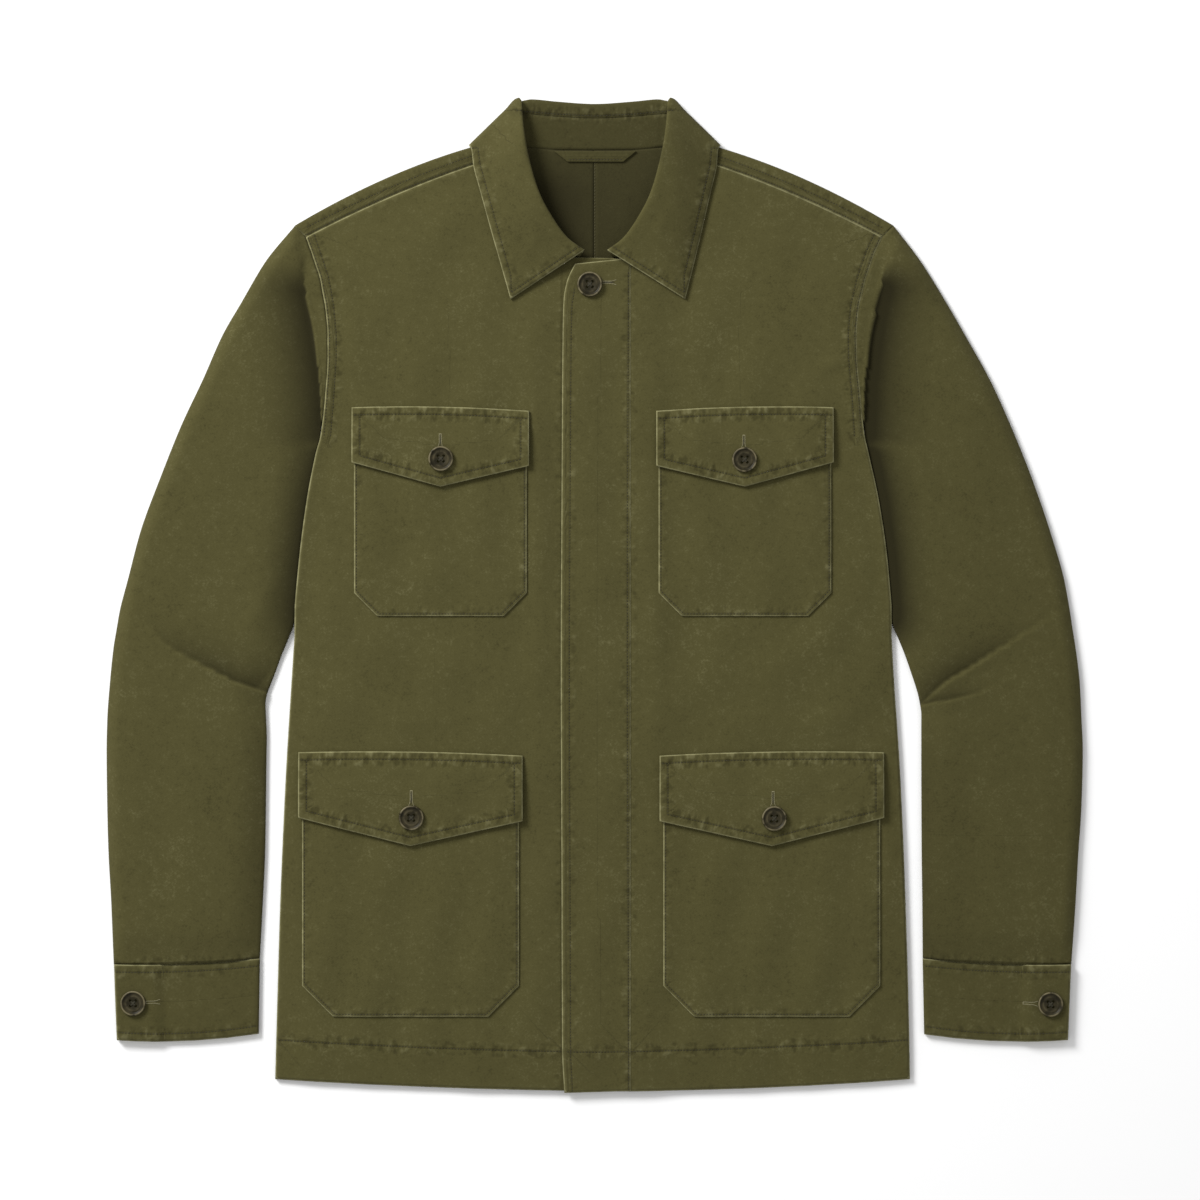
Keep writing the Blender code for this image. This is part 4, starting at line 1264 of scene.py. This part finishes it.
def sleeve_columns(index, side):
    """Plan points across the sleeve, which take the armhole's curve near the sleeve head."""
    head = SLEEVE[0]
    outer, inner = ring_ends(index, side)
    head_outer, head_inner = ring_ends(0, side)
    fade = max(0.0, 1.0 - index / HEAD_FADE)
    seam = [head_outer] + [edge_point(edge, side) for edge in BODY[:UNDERARM + 1]]
    points = []
    for place, seam_point in enumerate(seam):
        share = (head.y - seam_point.y) / (head.y - head.inner_y)
        before = seam[max(place - 1, 0)]
        after = seam[min(place + 1, UNDERARM + 1)]
        along = (after - before).normalized()
        clear = Vector((-along.y, along.x)) * side * ARMHOLE_GAP
        bulge = seam_point + clear - head_outer.lerp(head_inner, share)
        points.append(outer.lerp(inner, share) + bulge * fade)
    return points


def sleeve_ring(index, side):
    """A flat ring of cloth: the upper layer from the outer edge inwards, the lower layer back."""
    columns = sleeve_columns(index, side)
    outer, inner = columns[0], columns[-1]
    upper = []
    lower = []
    for point in columns[1:-1]:
        if index == len(SLEEVE) - 1:
            share = (point - outer).length / (inner - outer).length
            point.y += 4 * SLEEVE_END_BOW * share * (1 - share)
        upper.append((point.x, point.y, FRONT_MID))
        lower.append((point.x, point.y, BACK_MID))
    outer_before, inner_before = ring_ends(index - 1, side)
    outer_after, inner_after = ring_ends(index + 1, side)
    outer_run = (outer_after - outer_before).normalized() * side
    inner_run = (inner_after - inner_before).normalized() * side
    outer_edge = folded_edge(outer, Vector((outer_run.y, -outer_run.x)))
    inner_edge = folded_edge(inner, Vector((-inner_run.y, inner_run.x)))
    ring_points = upper + inner_edge + lower[::-1] + outer_edge[::-1]
    return ring_points + [ring_points[0]]


SLEEVE_CUT = (345.0, 607.0, 0.128)


def tuck_relief(tuck, x, y):
    """Height of a tuck's dip and lip; its line runs towards +X on either sleeve."""
    distance, along, side = nearest_on(tuck.line, x, y)
    share = along / line_length(tuck.line)
    on_right = tuck.line[0][0] < 0
    from_outer_end = share if on_right else 1.0 - share
    strength = 0.10 + 0.90 * smooth_ramp(from_outer_end, 0.0, 0.75)
    dip = tuck.depth * np.exp(-distance / tuck.reach) * smooth_ramp(distance, -0.6, 0.9)
    lip = tuck.lip * np.exp(-((distance / 6.0) ** 2))
    return strength * np.where(side > 0, -dip, lip)


def sleeve_painted_shade(side):
    """Gives a sleeve's painted shade: at the underarm, beside the body, on the inner edge and in tucks."""
    def painted_shade_and_tone(x, y, z):
        inwards = np.abs(x) - np.interp(y, (-290.0, -100.0), (258.0, 250.0))
        sleeve_shade = INNER_EDGE_SHADE * np.exp(-np.maximum(inwards, 0.0) / INNER_FADE) * smooth_ramp(y, -92.0, -130.0)
        sleeve_shade += SLEEVE_DARKENING[side]
        for tuck in ELBOW_TUCKS[side]:
            shape = np.maximum(-tuck_relief(tuck._replace(lip=0.0), x, y), 0.0)
            sleeve_shade = np.maximum(sleeve_shade, TUCK_SHADE * shape / tuck.depth)
        # Painted shade in the valley beyond the roll at the underarm, and beside the body's side edge.
        distance, _, roll_side = nearest_on(UNDERARM_ROLLS[side], x, y)
        valley = HOLLOW_SHADE[side] * np.exp(-((distance / VALLEY_FADE) ** 1.4))
        valley = valley * smooth_ramp(y, 266.0, 236.0)
        sleeve_shade = np.maximum(sleeve_shade, valley * (roll_side * side > 0) * smooth_ramp(y, 104.0, 124.0))
        beside = np.abs(x) - side_reach(y)
        along = smooth_ramp(y, 130.0, 110.0) * smooth_ramp(y, -62.0, -10.0)
        edge_shade = np.exp(-((np.maximum(beside, 0.0) / SIDE_FADE) ** 1.5))
        sleeve_shade = np.maximum(sleeve_shade, HOLLOW_SHADE[side] * edge_shade * along)
        sleeve_shade = np.minimum(sleeve_shade, DARKEST_SHADE)
        return sleeve_shade * smooth_ramp(z, UPPER_LAYER, UPPER_LAYER + UPPER_CHANGE)

    return painted_shade_and_tone


def sleeve_lift(side):
    """Gives the height of a sleeve's upper layer over its pressed place."""
    outer = [(ring_ends(i, side)[0].x, ring_ends(i, side)[0].y) for i in range(len(SLEEVE))]
    inner = [(edge_point(BODY[UNDERARM], side).x, 140.0)]
    inner += [(ring_ends(i, side)[1].x, ring_ends(i, side)[1].y) for i in range(len(SLEEVE))]
    armhole = armhole_line(side)

    def lift(x, y):
        from_outer = nearest_on(outer, x, y)[0]
        from_inner = nearest_on(inner, x, y)[0]
        from_seam = nearest_on(armhole, x, y)[0]
        plateau = 1.0 - (1.0 - np.clip(from_outer / OUTER_ROLL, 0.0, 1.0)) ** 2
        below_arm = smooth_ramp(y, 150.0, 112.0)
        inner_roll = 1.0 - (1.0 - np.clip(from_inner / INNER_ROLL, 0.0, 1.0)) ** 2
        plateau = plateau * mix(1.0, inner_roll, below_arm)
        plateau = plateau * mix(0.25, 1.0, smooth_ramp(y, *SLEEVE_END))
        height = SLEEVE_LIFT * plateau
        height += 0.30 * np.sin(x / 11.0 + y / 47.0) * np.sin(y / 33.0 + 0.8) * plateau
        for crease in SLEEVE_FOLDS[side]:
            height += crease_relief(crease, x, y) * plateau
        for tuck in ELBOW_TUCKS[side]:
            height += tuck_relief(tuck, x, y)
        roll_distance, _, roll_side = nearest_on(UNDERARM_ROLLS[side], x, y)
        beyond = roll_side * side > 0
        valley = smooth_ramp(y, 264.0, 226.0) * np.exp(-((roll_distance / VALLEY) ** 1.3))
        height = height * (1.0 - 0.92 * valley * beyond)
        body_side = body_lift(np.clip(x, -side_reach(y), side_reach(y)), y)
        strip = (1.0 - smooth_ramp(roll_distance * np.where(beyond, 1.0, -1.0), -2.4, 2.4))
        strip = strip * smooth_ramp(y, SEWN_TOP, SEWN_FULL) * (1.0 - below_arm)
        near_seam = (1.0 - smooth_ramp(from_seam, 0.0, 16.0)) * smooth_ramp(y, 236.0, 262.0)
        height = mix(height, body_side, np.clip(strip + near_seam, 0.0, 1.0))
        return np.maximum(height, 0.0)

    return lift


def make_sleeve(side):
    rows = [sleeve_ring(index, side) for index in range(len(SLEEVE))]
    name = "sleeve_" + SIDE_NAMES[side]
    armhole = Seam(armhole_line(side), 5.0, 0.18, 9.0, 0.0)
    end = Seam([(side * 374.0, -288.0), (side * 258.0, -284.0)], 8.0, 0.26, 9.0, 0.0)
    piece = cloth(name, rows, WALL, OUTER_TWILL, spacing=2.6, curved=(True, True), tube=True,
                  seams=[armhole, end], upper_from=UPPER_LAYER, lift=sleeve_lift(side),
                  painted_shade_and_tone=sleeve_painted_shade(side), worn=False)
    declare(piece, name, SLEEVE_CUT)


make_sleeve(RIGHT)
make_sleeve(LEFT)


# ------------------------------------------------------------------------------------------------
# The cuffs: a folded double band on each sleeve's end, which laps over itself at the outer edge and
# is stitched along both long sides.

# The four corners of each cuff as it lies, for the right side with its sign dropped.
Cuff = namedtuple("Cuff", "outer inner outer_y inner_y bow")
CUFF_ROWS = {
    RIGHT: [Cuff(374.8, 260.9, -287.5, -283.0, SLEEVE_END_BOW),
            Cuff(373.8, 261.4, -317.0, -312.4, -2.6),
            Cuff(372.6, 261.8, -346.4, -341.5, -3.2)],
    LEFT: [Cuff(371.4, 255.5, -287.5, -283.0, SLEEVE_END_BOW),
           Cuff(370.2, 256.1, -317.0, -312.6, -2.6),
           Cuff(369.0, 256.7, -346.2, -342.0, -3.2)],
}
CUFF_TURN = DOUBLE / 2 + GAP / 2
CUFF_LOW = DOUBLE / 2
CUFF_MID = CUFF_LOW + 2 * CUFF_TURN
CUFF_HIGH = CUFF_MID + 2 * CUFF_TURN
UNDERLAP = 30.0                      # how far the buttoned end reaches under the top layer


def cuff_fold(distance, inwards):
    """Stops round a folded edge of the band, from the middle layer to the lowest."""
    stops = []
    for turn in FOLD_TURNS:
        angle = math.radians(turn)
        across = distance + inwards * (DOUBLE / 2 + CUFF_TURN * (1 - math.cos(angle)))
        stops.append((across, CUFF_LOW + CUFF_TURN * (1 + math.sin(angle))))
    return stops


def cuff_row(cuff, side):
    """The band from its upper end, round the inner edge and the outer edge, to its lower end."""
    width = cuff.outer - cuff.inner
    stops = [(0.6, CUFF_HIGH), (14.0, CUFF_HIGH), (UNDERLAP + 1.0, CUFF_HIGH),
             (UNDERLAP + 9.0, CUFF_MID), (width * 0.55, CUFF_MID), (width * 0.78, CUFF_MID)]
    stops += cuff_fold(width, -1)
    stops += [(width * 0.6, CUFF_LOW), (width * 0.3, CUFF_LOW)]
    stops += cuff_fold(0.0, 1)[::-1]
    stops += [(14.0, CUFF_MID), (UNDERLAP, CUFF_MID)]
    row = []
    for distance, height in stops:
        share = distance / width
        y = mix(cuff.outer_y, cuff.inner_y, share) + 4 * cuff.bow * share * (1 - share)
        row.append((side * (cuff.outer - distance), y, height))
    return row


CUFF_CUT = (259.0, 60.0, 0.0151)


def cuff_darkening(x, y, z):
    """The cuffs are a little darker all over."""
    return np.full(x.shape, 0.13)


def make_cuff(side):
    rows = [cuff_row(cuff, side) for cuff in CUFF_ROWS[side]]
    name = "cuff_" + SIDE_NAMES[side]
    upper, lower = CUFF_ROWS[side][0], CUFF_ROWS[side][2]
    seams = []
    for cuff, step in ((upper, -5.8), (lower, 6.0)):
        line = [(side * mix(cuff.outer - 1.5, cuff.inner + 1.5, i / 10),
                 mix(cuff.outer_y, cuff.inner_y, i / 10) + 4 * cuff.bow * (i / 10) * (1 - i / 10) + step)
                for i in range(11)]
        seams.append(Seam(line, 6.0, 0.30, 10.0, 0.18))
    piece = cloth(name, rows, DOUBLE, OUTER_TWILL, spacing=2.6, curved=(True, False), seams=seams,
                  upper_from=CUFF_MID - 0.6, painted_shade_and_tone=cuff_darkening)
    declare(piece, name, CUFF_CUT)
    sew(piece, seams)


make_cuff(RIGHT)
make_cuff(LEFT)


# ------------------------------------------------------------------------------------------------
# Four patch pockets with cut-off lower corners, each edge stitched to a front, under a pointed flap
# of two plies which is stitched on above it and buttoned down.

# Widths and heights of the pockets on both sides. The outer end of each flap sits a little higher.
Pocket = namedtuple(
    "Pocket", "name right_x left_x half top bottom corner flap_half flap_top flap_side flap_point tilt")
POCKETS = [
    Pocket("chest", -120.1, 116.9, 67.2, 126.0, -16.2, 18.0, 69.0, 144.8, 102.0, 84.5, 1.4),
    Pocket("lower", -143.4, 137.8, 84.4, -144.0, -328.0, 24.0, 87.3, -123.6, -174.4, -195.0, 1.3),
]
FLAP_SEAT = 16.0                     # the flap reaches full height this far below its top edge
FLAP_BOW = 1.8
POCKET_WALL = 1.0                    # pressed flat by its stitching
FLAP_WALL = 1.5
FLAP_AIR = 1.0                       # how far a flap stands off its pocket


def pocket_centre(pocket, side):
    return pocket.left_x if side == LEFT else pocket.right_x


def pocket_outline(pocket, centre, inset):
    half = pocket.half - inset
    low = pocket.bottom + inset
    cut_off = pocket.corner
    return [(centre - half, pocket.top), (centre - half, low + cut_off), (centre - half + cut_off, low),
            (centre + half - cut_off, low), (centre + half, low + cut_off), (centre + half, pocket.top)]


def make_pocket(pocket, side):
    centre = pocket_centre(pocket, side)
    corner_y = pocket.bottom + pocket.corner
    heights = [pocket.top, mix(pocket.top, corner_y, 0.5), corner_y, pocket.bottom]
    halves = [pocket.half] * 3 + [pocket.half - pocket.corner]
    rows = []
    for y, half in zip(heights, halves):
        rows.append([(centre + half * share, y, LAID_ON_FRONT + POCKET_WALL / 2)
                     for share in (-1.0, -0.5, 0.0, 0.5, 1.0)])
    name = pocket.name + "_pocket_" + SIDE_NAMES[side]
    edge = Seam(pocket_outline(pocket, centre, 1.7), 5.5, 0.24, 10.0, 0.12)
    sag = [Crease([(centre - pocket.half * 0.7, pocket.bottom + 26), (centre, pocket.bottom + 34),
                   (centre + pocket.half * 0.7, pocket.bottom + 24)], 0.5, 13.0, 1.0)]
    piece = cloth(name, rows, POCKET_WALL, OUTER_TWILL, spacing=2.0, seams=[edge], creases=sag,
                  lift=body_lift)
    width, length = 2 * pocket.half, pocket.top - pocket.bottom
    area = (width * length - pocket.corner ** 2) * MM * MM
    declare(piece, name, (width, length, area))
    sew(piece, [edge])


def make_flap(pocket, side):
    centre = pocket_centre(pocket, side)
    seat = LAID_ON_FRONT + FLAP_WALL / 2
    over_pocket = LAID_ON_FRONT + POCKET_WALL + GAP + FLAP_WALL / 2
    rows = []
    for drop in (0.0, FLAP_SEAT / 2, FLAP_SEAT, None):
        row = []
        for step in range(-4, 5):
            share = step / 4
            tilt = pocket.tilt * share * side
            y = pocket.flap_top + tilt + FLAP_BOW * (1 - share ** 2)
            height = over_pocket
            if drop is None:
                y = mix(pocket.flap_point, pocket.flap_side, abs(share)) + tilt
            else:
                y -= drop
                height = mix(seat, over_pocket, drop / FLAP_SEAT)
            row.append((centre + pocket.flap_half * share, y, height))
        rows.append(row)
    name = pocket.name + "_flap_" + SIDE_NAMES[side]
    half = pocket.flap_half - 6.4
    slope = (pocket.flap_side - pocket.flap_point) / pocket.flap_half
    point = pocket.flap_point + 6.7
    rim = Seam([(centre - half, pocket.flap_top - 6.0 - side * pocket.tilt),
                (centre - half, point + slope * half - side * pocket.tilt), (centre, point),
                (centre + half, point + slope * half + side * pocket.tilt),
                (centre + half, pocket.flap_top - 6.0 + side * pocket.tilt)], 5.0, 0.34, 8.5, 0.18)
    top = Seam(bow_line((centre - pocket.flap_half + 1.5, pocket.flap_top - 6.0 - side * pocket.tilt),
                        (centre + pocket.flap_half - 1.5, pocket.flap_top - 6.0 + side * pocket.tilt),
                        FLAP_BOW), 5.0, 0.38, 8.0, 0.18)

    def flap_lift(x, y):
        """The flap stands off the pocket below the row of stitching that holds it."""
        free = smooth_ramp(y, pocket.flap_top - 7.0, pocket.flap_top - 30.0)
        return body_lift(x, y) + 0.2 + (FLAP_AIR + 0.2 * np.sin(x / 21.0) * np.cos(y / 17.0)) * free

    piece = cloth(name, rows, FLAP_WALL, OUTER_TWILL, spacing=1.6, curved=(True, False), seams=[rim, top],
                  lift=flap_lift)
    width = 2 * pocket.flap_half
    length = pocket.flap_top + FLAP_BOW - pocket.flap_point
    area = width * (pocket.flap_top - (pocket.flap_side + pocket.flap_point) / 2) * MM * MM
    declare(piece, name, (width, length, area))
    sew(piece, [rim, top])


for one_pocket in POCKETS:
    for one_side in (RIGHT, LEFT):
        make_pocket(one_pocket, one_side)
        make_flap(one_pocket, one_side)


# ------------------------------------------------------------------------------------------------
# Seven resin buttons with a raised rim and four holes, each sewn on by a cross of thread, and the
# worked buttonholes that show. The buttons are turned and then drilled.

BUTTON_STEPS = 56
BUTTON_PROFILE = ((0.0, 0.0), (8.4, 0.0), (9.3, 0.45), (9.75, 1.3), (9.72, 2.1), (9.45, 2.6),
                  (9.05, 2.8), (8.6, 2.78), (8.2, 2.5), (7.8, 2.0), (7.3, 1.75), (6.7, 1.7),
                  (5.6, 1.9), (4.6, 1.75), (3.8, 1.55), (0.0, 1.5))
HOLE_RADIUS = 1.1
HOLE_OFFSET = 2.1
Hole = namedtuple("Hole", "piece x1 y1 x2 y2")
BUTTONHOLES = [
    Hole("placket", 5.0, 243.6, 16.5, 243.6),
    Hole("chest_flap_right", -120.0, 125.4, -120.0, 115.2),
    Hole("chest_flap_left", 116.0, 124.4, 116.0, 114.4),
    Hole("lower_flap_right", -142.6, -152.0, -142.6, -163.6),
    Hole("lower_flap_left", 138.7, -152.6, 138.7, -164.0),
    Hole("cuff_right", -349.6, -317.0, -338.7, -316.6),
    Hole("cuff_left", 333.7, -317.6, 344.6, -318.0),
]
BUTTON_SEATS = {
    "button_neck": "placket",
    "button_chest_right": "chest_flap_right",
    "button_chest_left": "chest_flap_left",
    "button_lower_right": "lower_flap_right",
    "button_lower_left": "lower_flap_left",
    "button_cuff_right": "cuff_right",
    "button_cuff_left": "cuff_left",
}


def resin():
    """Dark brown resin, cloudy, its rim worn pale and lit by a painted highlight."""
    material = bpy.data.materials.new("button_resin")
    material.use_nodes = True
    tree = material.node_tree
    place = add_node(tree, "ShaderNodeTexCoord", {}, {}, "Object")
    cloud = add_node(tree, "ShaderNodeTexNoise", {}, {"Vector": place, "Scale": 160.0, "Detail": 3.0})
    colour = blend_colours(tree, cloud.between(0.3, 0.7), (0.012, 0.010, 0.004), (0.033, 0.027, 0.012))
    # Paler on the worn rim, and as a painted highlight on the top of the rim and on the low ring inside it.
    rubbed_and_highlit = add_node(tree, "ShaderNodeAttribute", {"attribute_name": "rubbed_and_highlit"}, {}, "Fac")
    colour = blend_colours(tree, rubbed_and_highlit * cloud.between(0.3, 0.6) * 0.8, colour, (0.17, 0.145, 0.080))
    shader = tree.nodes["Principled BSDF"]
    tree.links.new(colour.link, shader.inputs["Base Color"])
    tree.links.new((cloud * 0.2 + 0.34).link, shader.inputs["Roughness"])
    shader.inputs["Specular IOR Level"].default_value = 0.14
    return material


def drill(bm):
    for x in (-HOLE_OFFSET, HOLE_OFFSET):
        for y in (-HOLE_OFFSET, HOLE_OFFSET):
            made = bmesh.ops.create_cone(bm, cap_ends=True, segments=16, radius1=HOLE_RADIUS * MM,
                                         radius2=HOLE_RADIUS * MM, depth=8 * MM)
            bmesh.ops.translate(bm, verts=made["verts"], vec=(x * MM, y * MM, 0.0))
    return bm


def button_body():
    bm = bmesh.new()
    profile = [bm.verts.new((radius * MM, 0.0, height * MM)) for radius, height in BUTTON_PROFILE]
    edges = [bm.edges.new(pair) for pair in zip(profile, profile[1:])]
    bmesh.ops.spin(bm, geom=profile + edges, axis=(0, 0, 1), cent=(0, 0, 0),
                   angle=math.tau, steps=BUTTON_STEPS, use_merge=True)
    bmesh.ops.remove_doubles(bm, verts=bm.verts, dist=0.00001)
    bmesh.ops.recalc_face_normals(bm, faces=bm.faces)
    return bm


RESIN = resin()
blank = finish_mesh("button_blank", button_body(), RESIN)
drills = finish_mesh("button_drills", drill(bmesh.new()), RESIN)
boring = blank.modifiers.new("holes", "BOOLEAN")
boring.operation = "DIFFERENCE"
boring.solver = "EXACT"
boring.object = drills
drilled = bpy.data.meshes.new_from_object(blank.evaluated_get(bpy.context.evaluated_depsgraph_get()))
bpy.data.objects.remove(blank)
bpy.data.objects.remove(drills)


def surface_of(piece):
    """A piece's cloth with its thickness, to look for heights on."""
    depsgraph = bpy.context.evaluated_depsgraph_get()
    return BVHTree.FromObject(bpy.data.objects[piece + "_cloth"], depsgraph)


def seat_of(piece, x, y):
    """The top of a piece at a plan point, in metres."""
    hit = surface_of(piece).ray_cast(Vector((x * MM, y * MM, DROP)), Vector((0, 0, -1)))[0]
    return hit.z


def add_thread(bm, start, end, width, height):
    """A short thread from one point to another, in metres."""
    middle = (start + end) / 2
    run = end - start
    shape = (Matrix.Translation(middle) @ run.to_track_quat("X", "Z").to_matrix().to_4x4()
             @ Matrix.Diagonal((run.length / 2, width / 2, height / 2, 1.0)))
    bmesh.ops.create_icosphere(bm, subdivisions=1, radius=1.0, matrix=shape)


def make_button(node):
    low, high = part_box(node)
    x, y = (low.x + high.x) / 2 / MM, (low.y + high.y) / 2 / MM
    z = seat_of(BUTTON_SEATS[node], x, y) + 0.0003
    bm = bmesh.new()
    bm.from_mesh(drilled)
    rubbed_and_highlit = bm.verts.layers.float.new("rubbed_and_highlit")
    for vertex in bm.verts:
        reach = vertex.co.xy.length / MM
        # The outer ring is wear and a painted highlight on the top of the rim; the inner ring is a painted
        # highlight.
        outer_ring = ramp(reach, 8.2, 8.7) * ramp(reach, 9.72, 9.5) * ramp(vertex.co.z / MM, 2.3, 2.6)
        inner_ring = 0.25 * ramp(reach, 4.7, 5.5) * ramp(reach, 6.6, 5.7)
        vertex[rubbed_and_highlit] = max(outer_ring, inner_ring)
    bmesh.ops.translate(bm, verts=bm.verts, vec=(x * MM, y * MM, z))
    for face in bm.faces:
        face.smooth = True
    piece = finish_mesh(node + "_turned", bm, RESIN)
    piece.data.set_sharp_from_angle(angle=math.radians(50))
    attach(piece, "root")
    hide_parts(node)
    threads = bmesh.new()
    centre = Vector((x * MM, y * MM, z + 0.0018))
    for turn in (45, 135):
        angle = math.radians(turn)
        across = Vector((math.cos(angle), math.sin(angle), 0.0)) * HOLE_OFFSET * 1.45 * MM
        for step in (-0.0003, 0.0003):
            aside = Vector((-math.sin(angle), math.cos(angle), 0.0)) * step
            add_thread(threads, centre - across + aside, centre + across + aside, 0.0007, 0.0006)
    cross = finish_mesh(node + "_thread", threads, SEWING_THREAD)
    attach(cross, "root")


def make_buttonhole(hole):
    """Two rows of close stitches along a slit, which part at its far end, with a bar at the other."""
    start = Vector((hole.x1, hole.y1))
    end = Vector((hole.x2, hole.y2))
    run = (end - start).normalized()
    aside = Vector((-run.y, run.x))
    surface = surface_of(hole.piece)
    bm = bmesh.new()

    def seated(plan):
        hit = surface.ray_cast(Vector((plan.x * MM, plan.y * MM, DROP)), Vector((0, 0, -1)))[0]
        return hit + Vector((0, 0, 0.00012))

    count = int((end - start).length / 0.6)
    for i in range(count + 1):
        middle = start.lerp(end, i / count)
        apart = 0.85 + 1.0 * ramp(i / count, 0.62, 1.0) ** 1.5
        for side in (-1, 1):
            near = middle + aside * side * (apart - 0.4) - run * 0.12
            far = middle + aside * side * (apart + 0.4) + run * 0.12
            add_thread(bm, seated(near), seated(far), 0.00056, 0.00050)
    add_thread(bm, seated(start - aside * 1.1), seated(start + aside * 1.1), 0.0008, 0.0006)
    stitched = finish_mesh(hole.piece + "_buttonhole", bm, PALE_THREAD)
    # A dark strip of thread colour, sunk along the slit, is painted shade in the cut.
    slit = bmesh.new()
    sunk = Vector((0, 0, -0.0001))
    add_thread(slit, seated(start) + sunk, seated(end) + sunk, 0.0009, 0.0004)
    slit_shade = finish_mesh(hole.piece + "_slit", slit, SEWING_THREAD)
    for piece in (stitched, slit_shade):
        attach(piece, "root")


for button_node in BUTTON_SEATS:
    make_button(button_node)
for one_hole in BUTTONHOLES:
    make_buttonhole(one_hole)
bpy.data.meshes.remove(drilled)
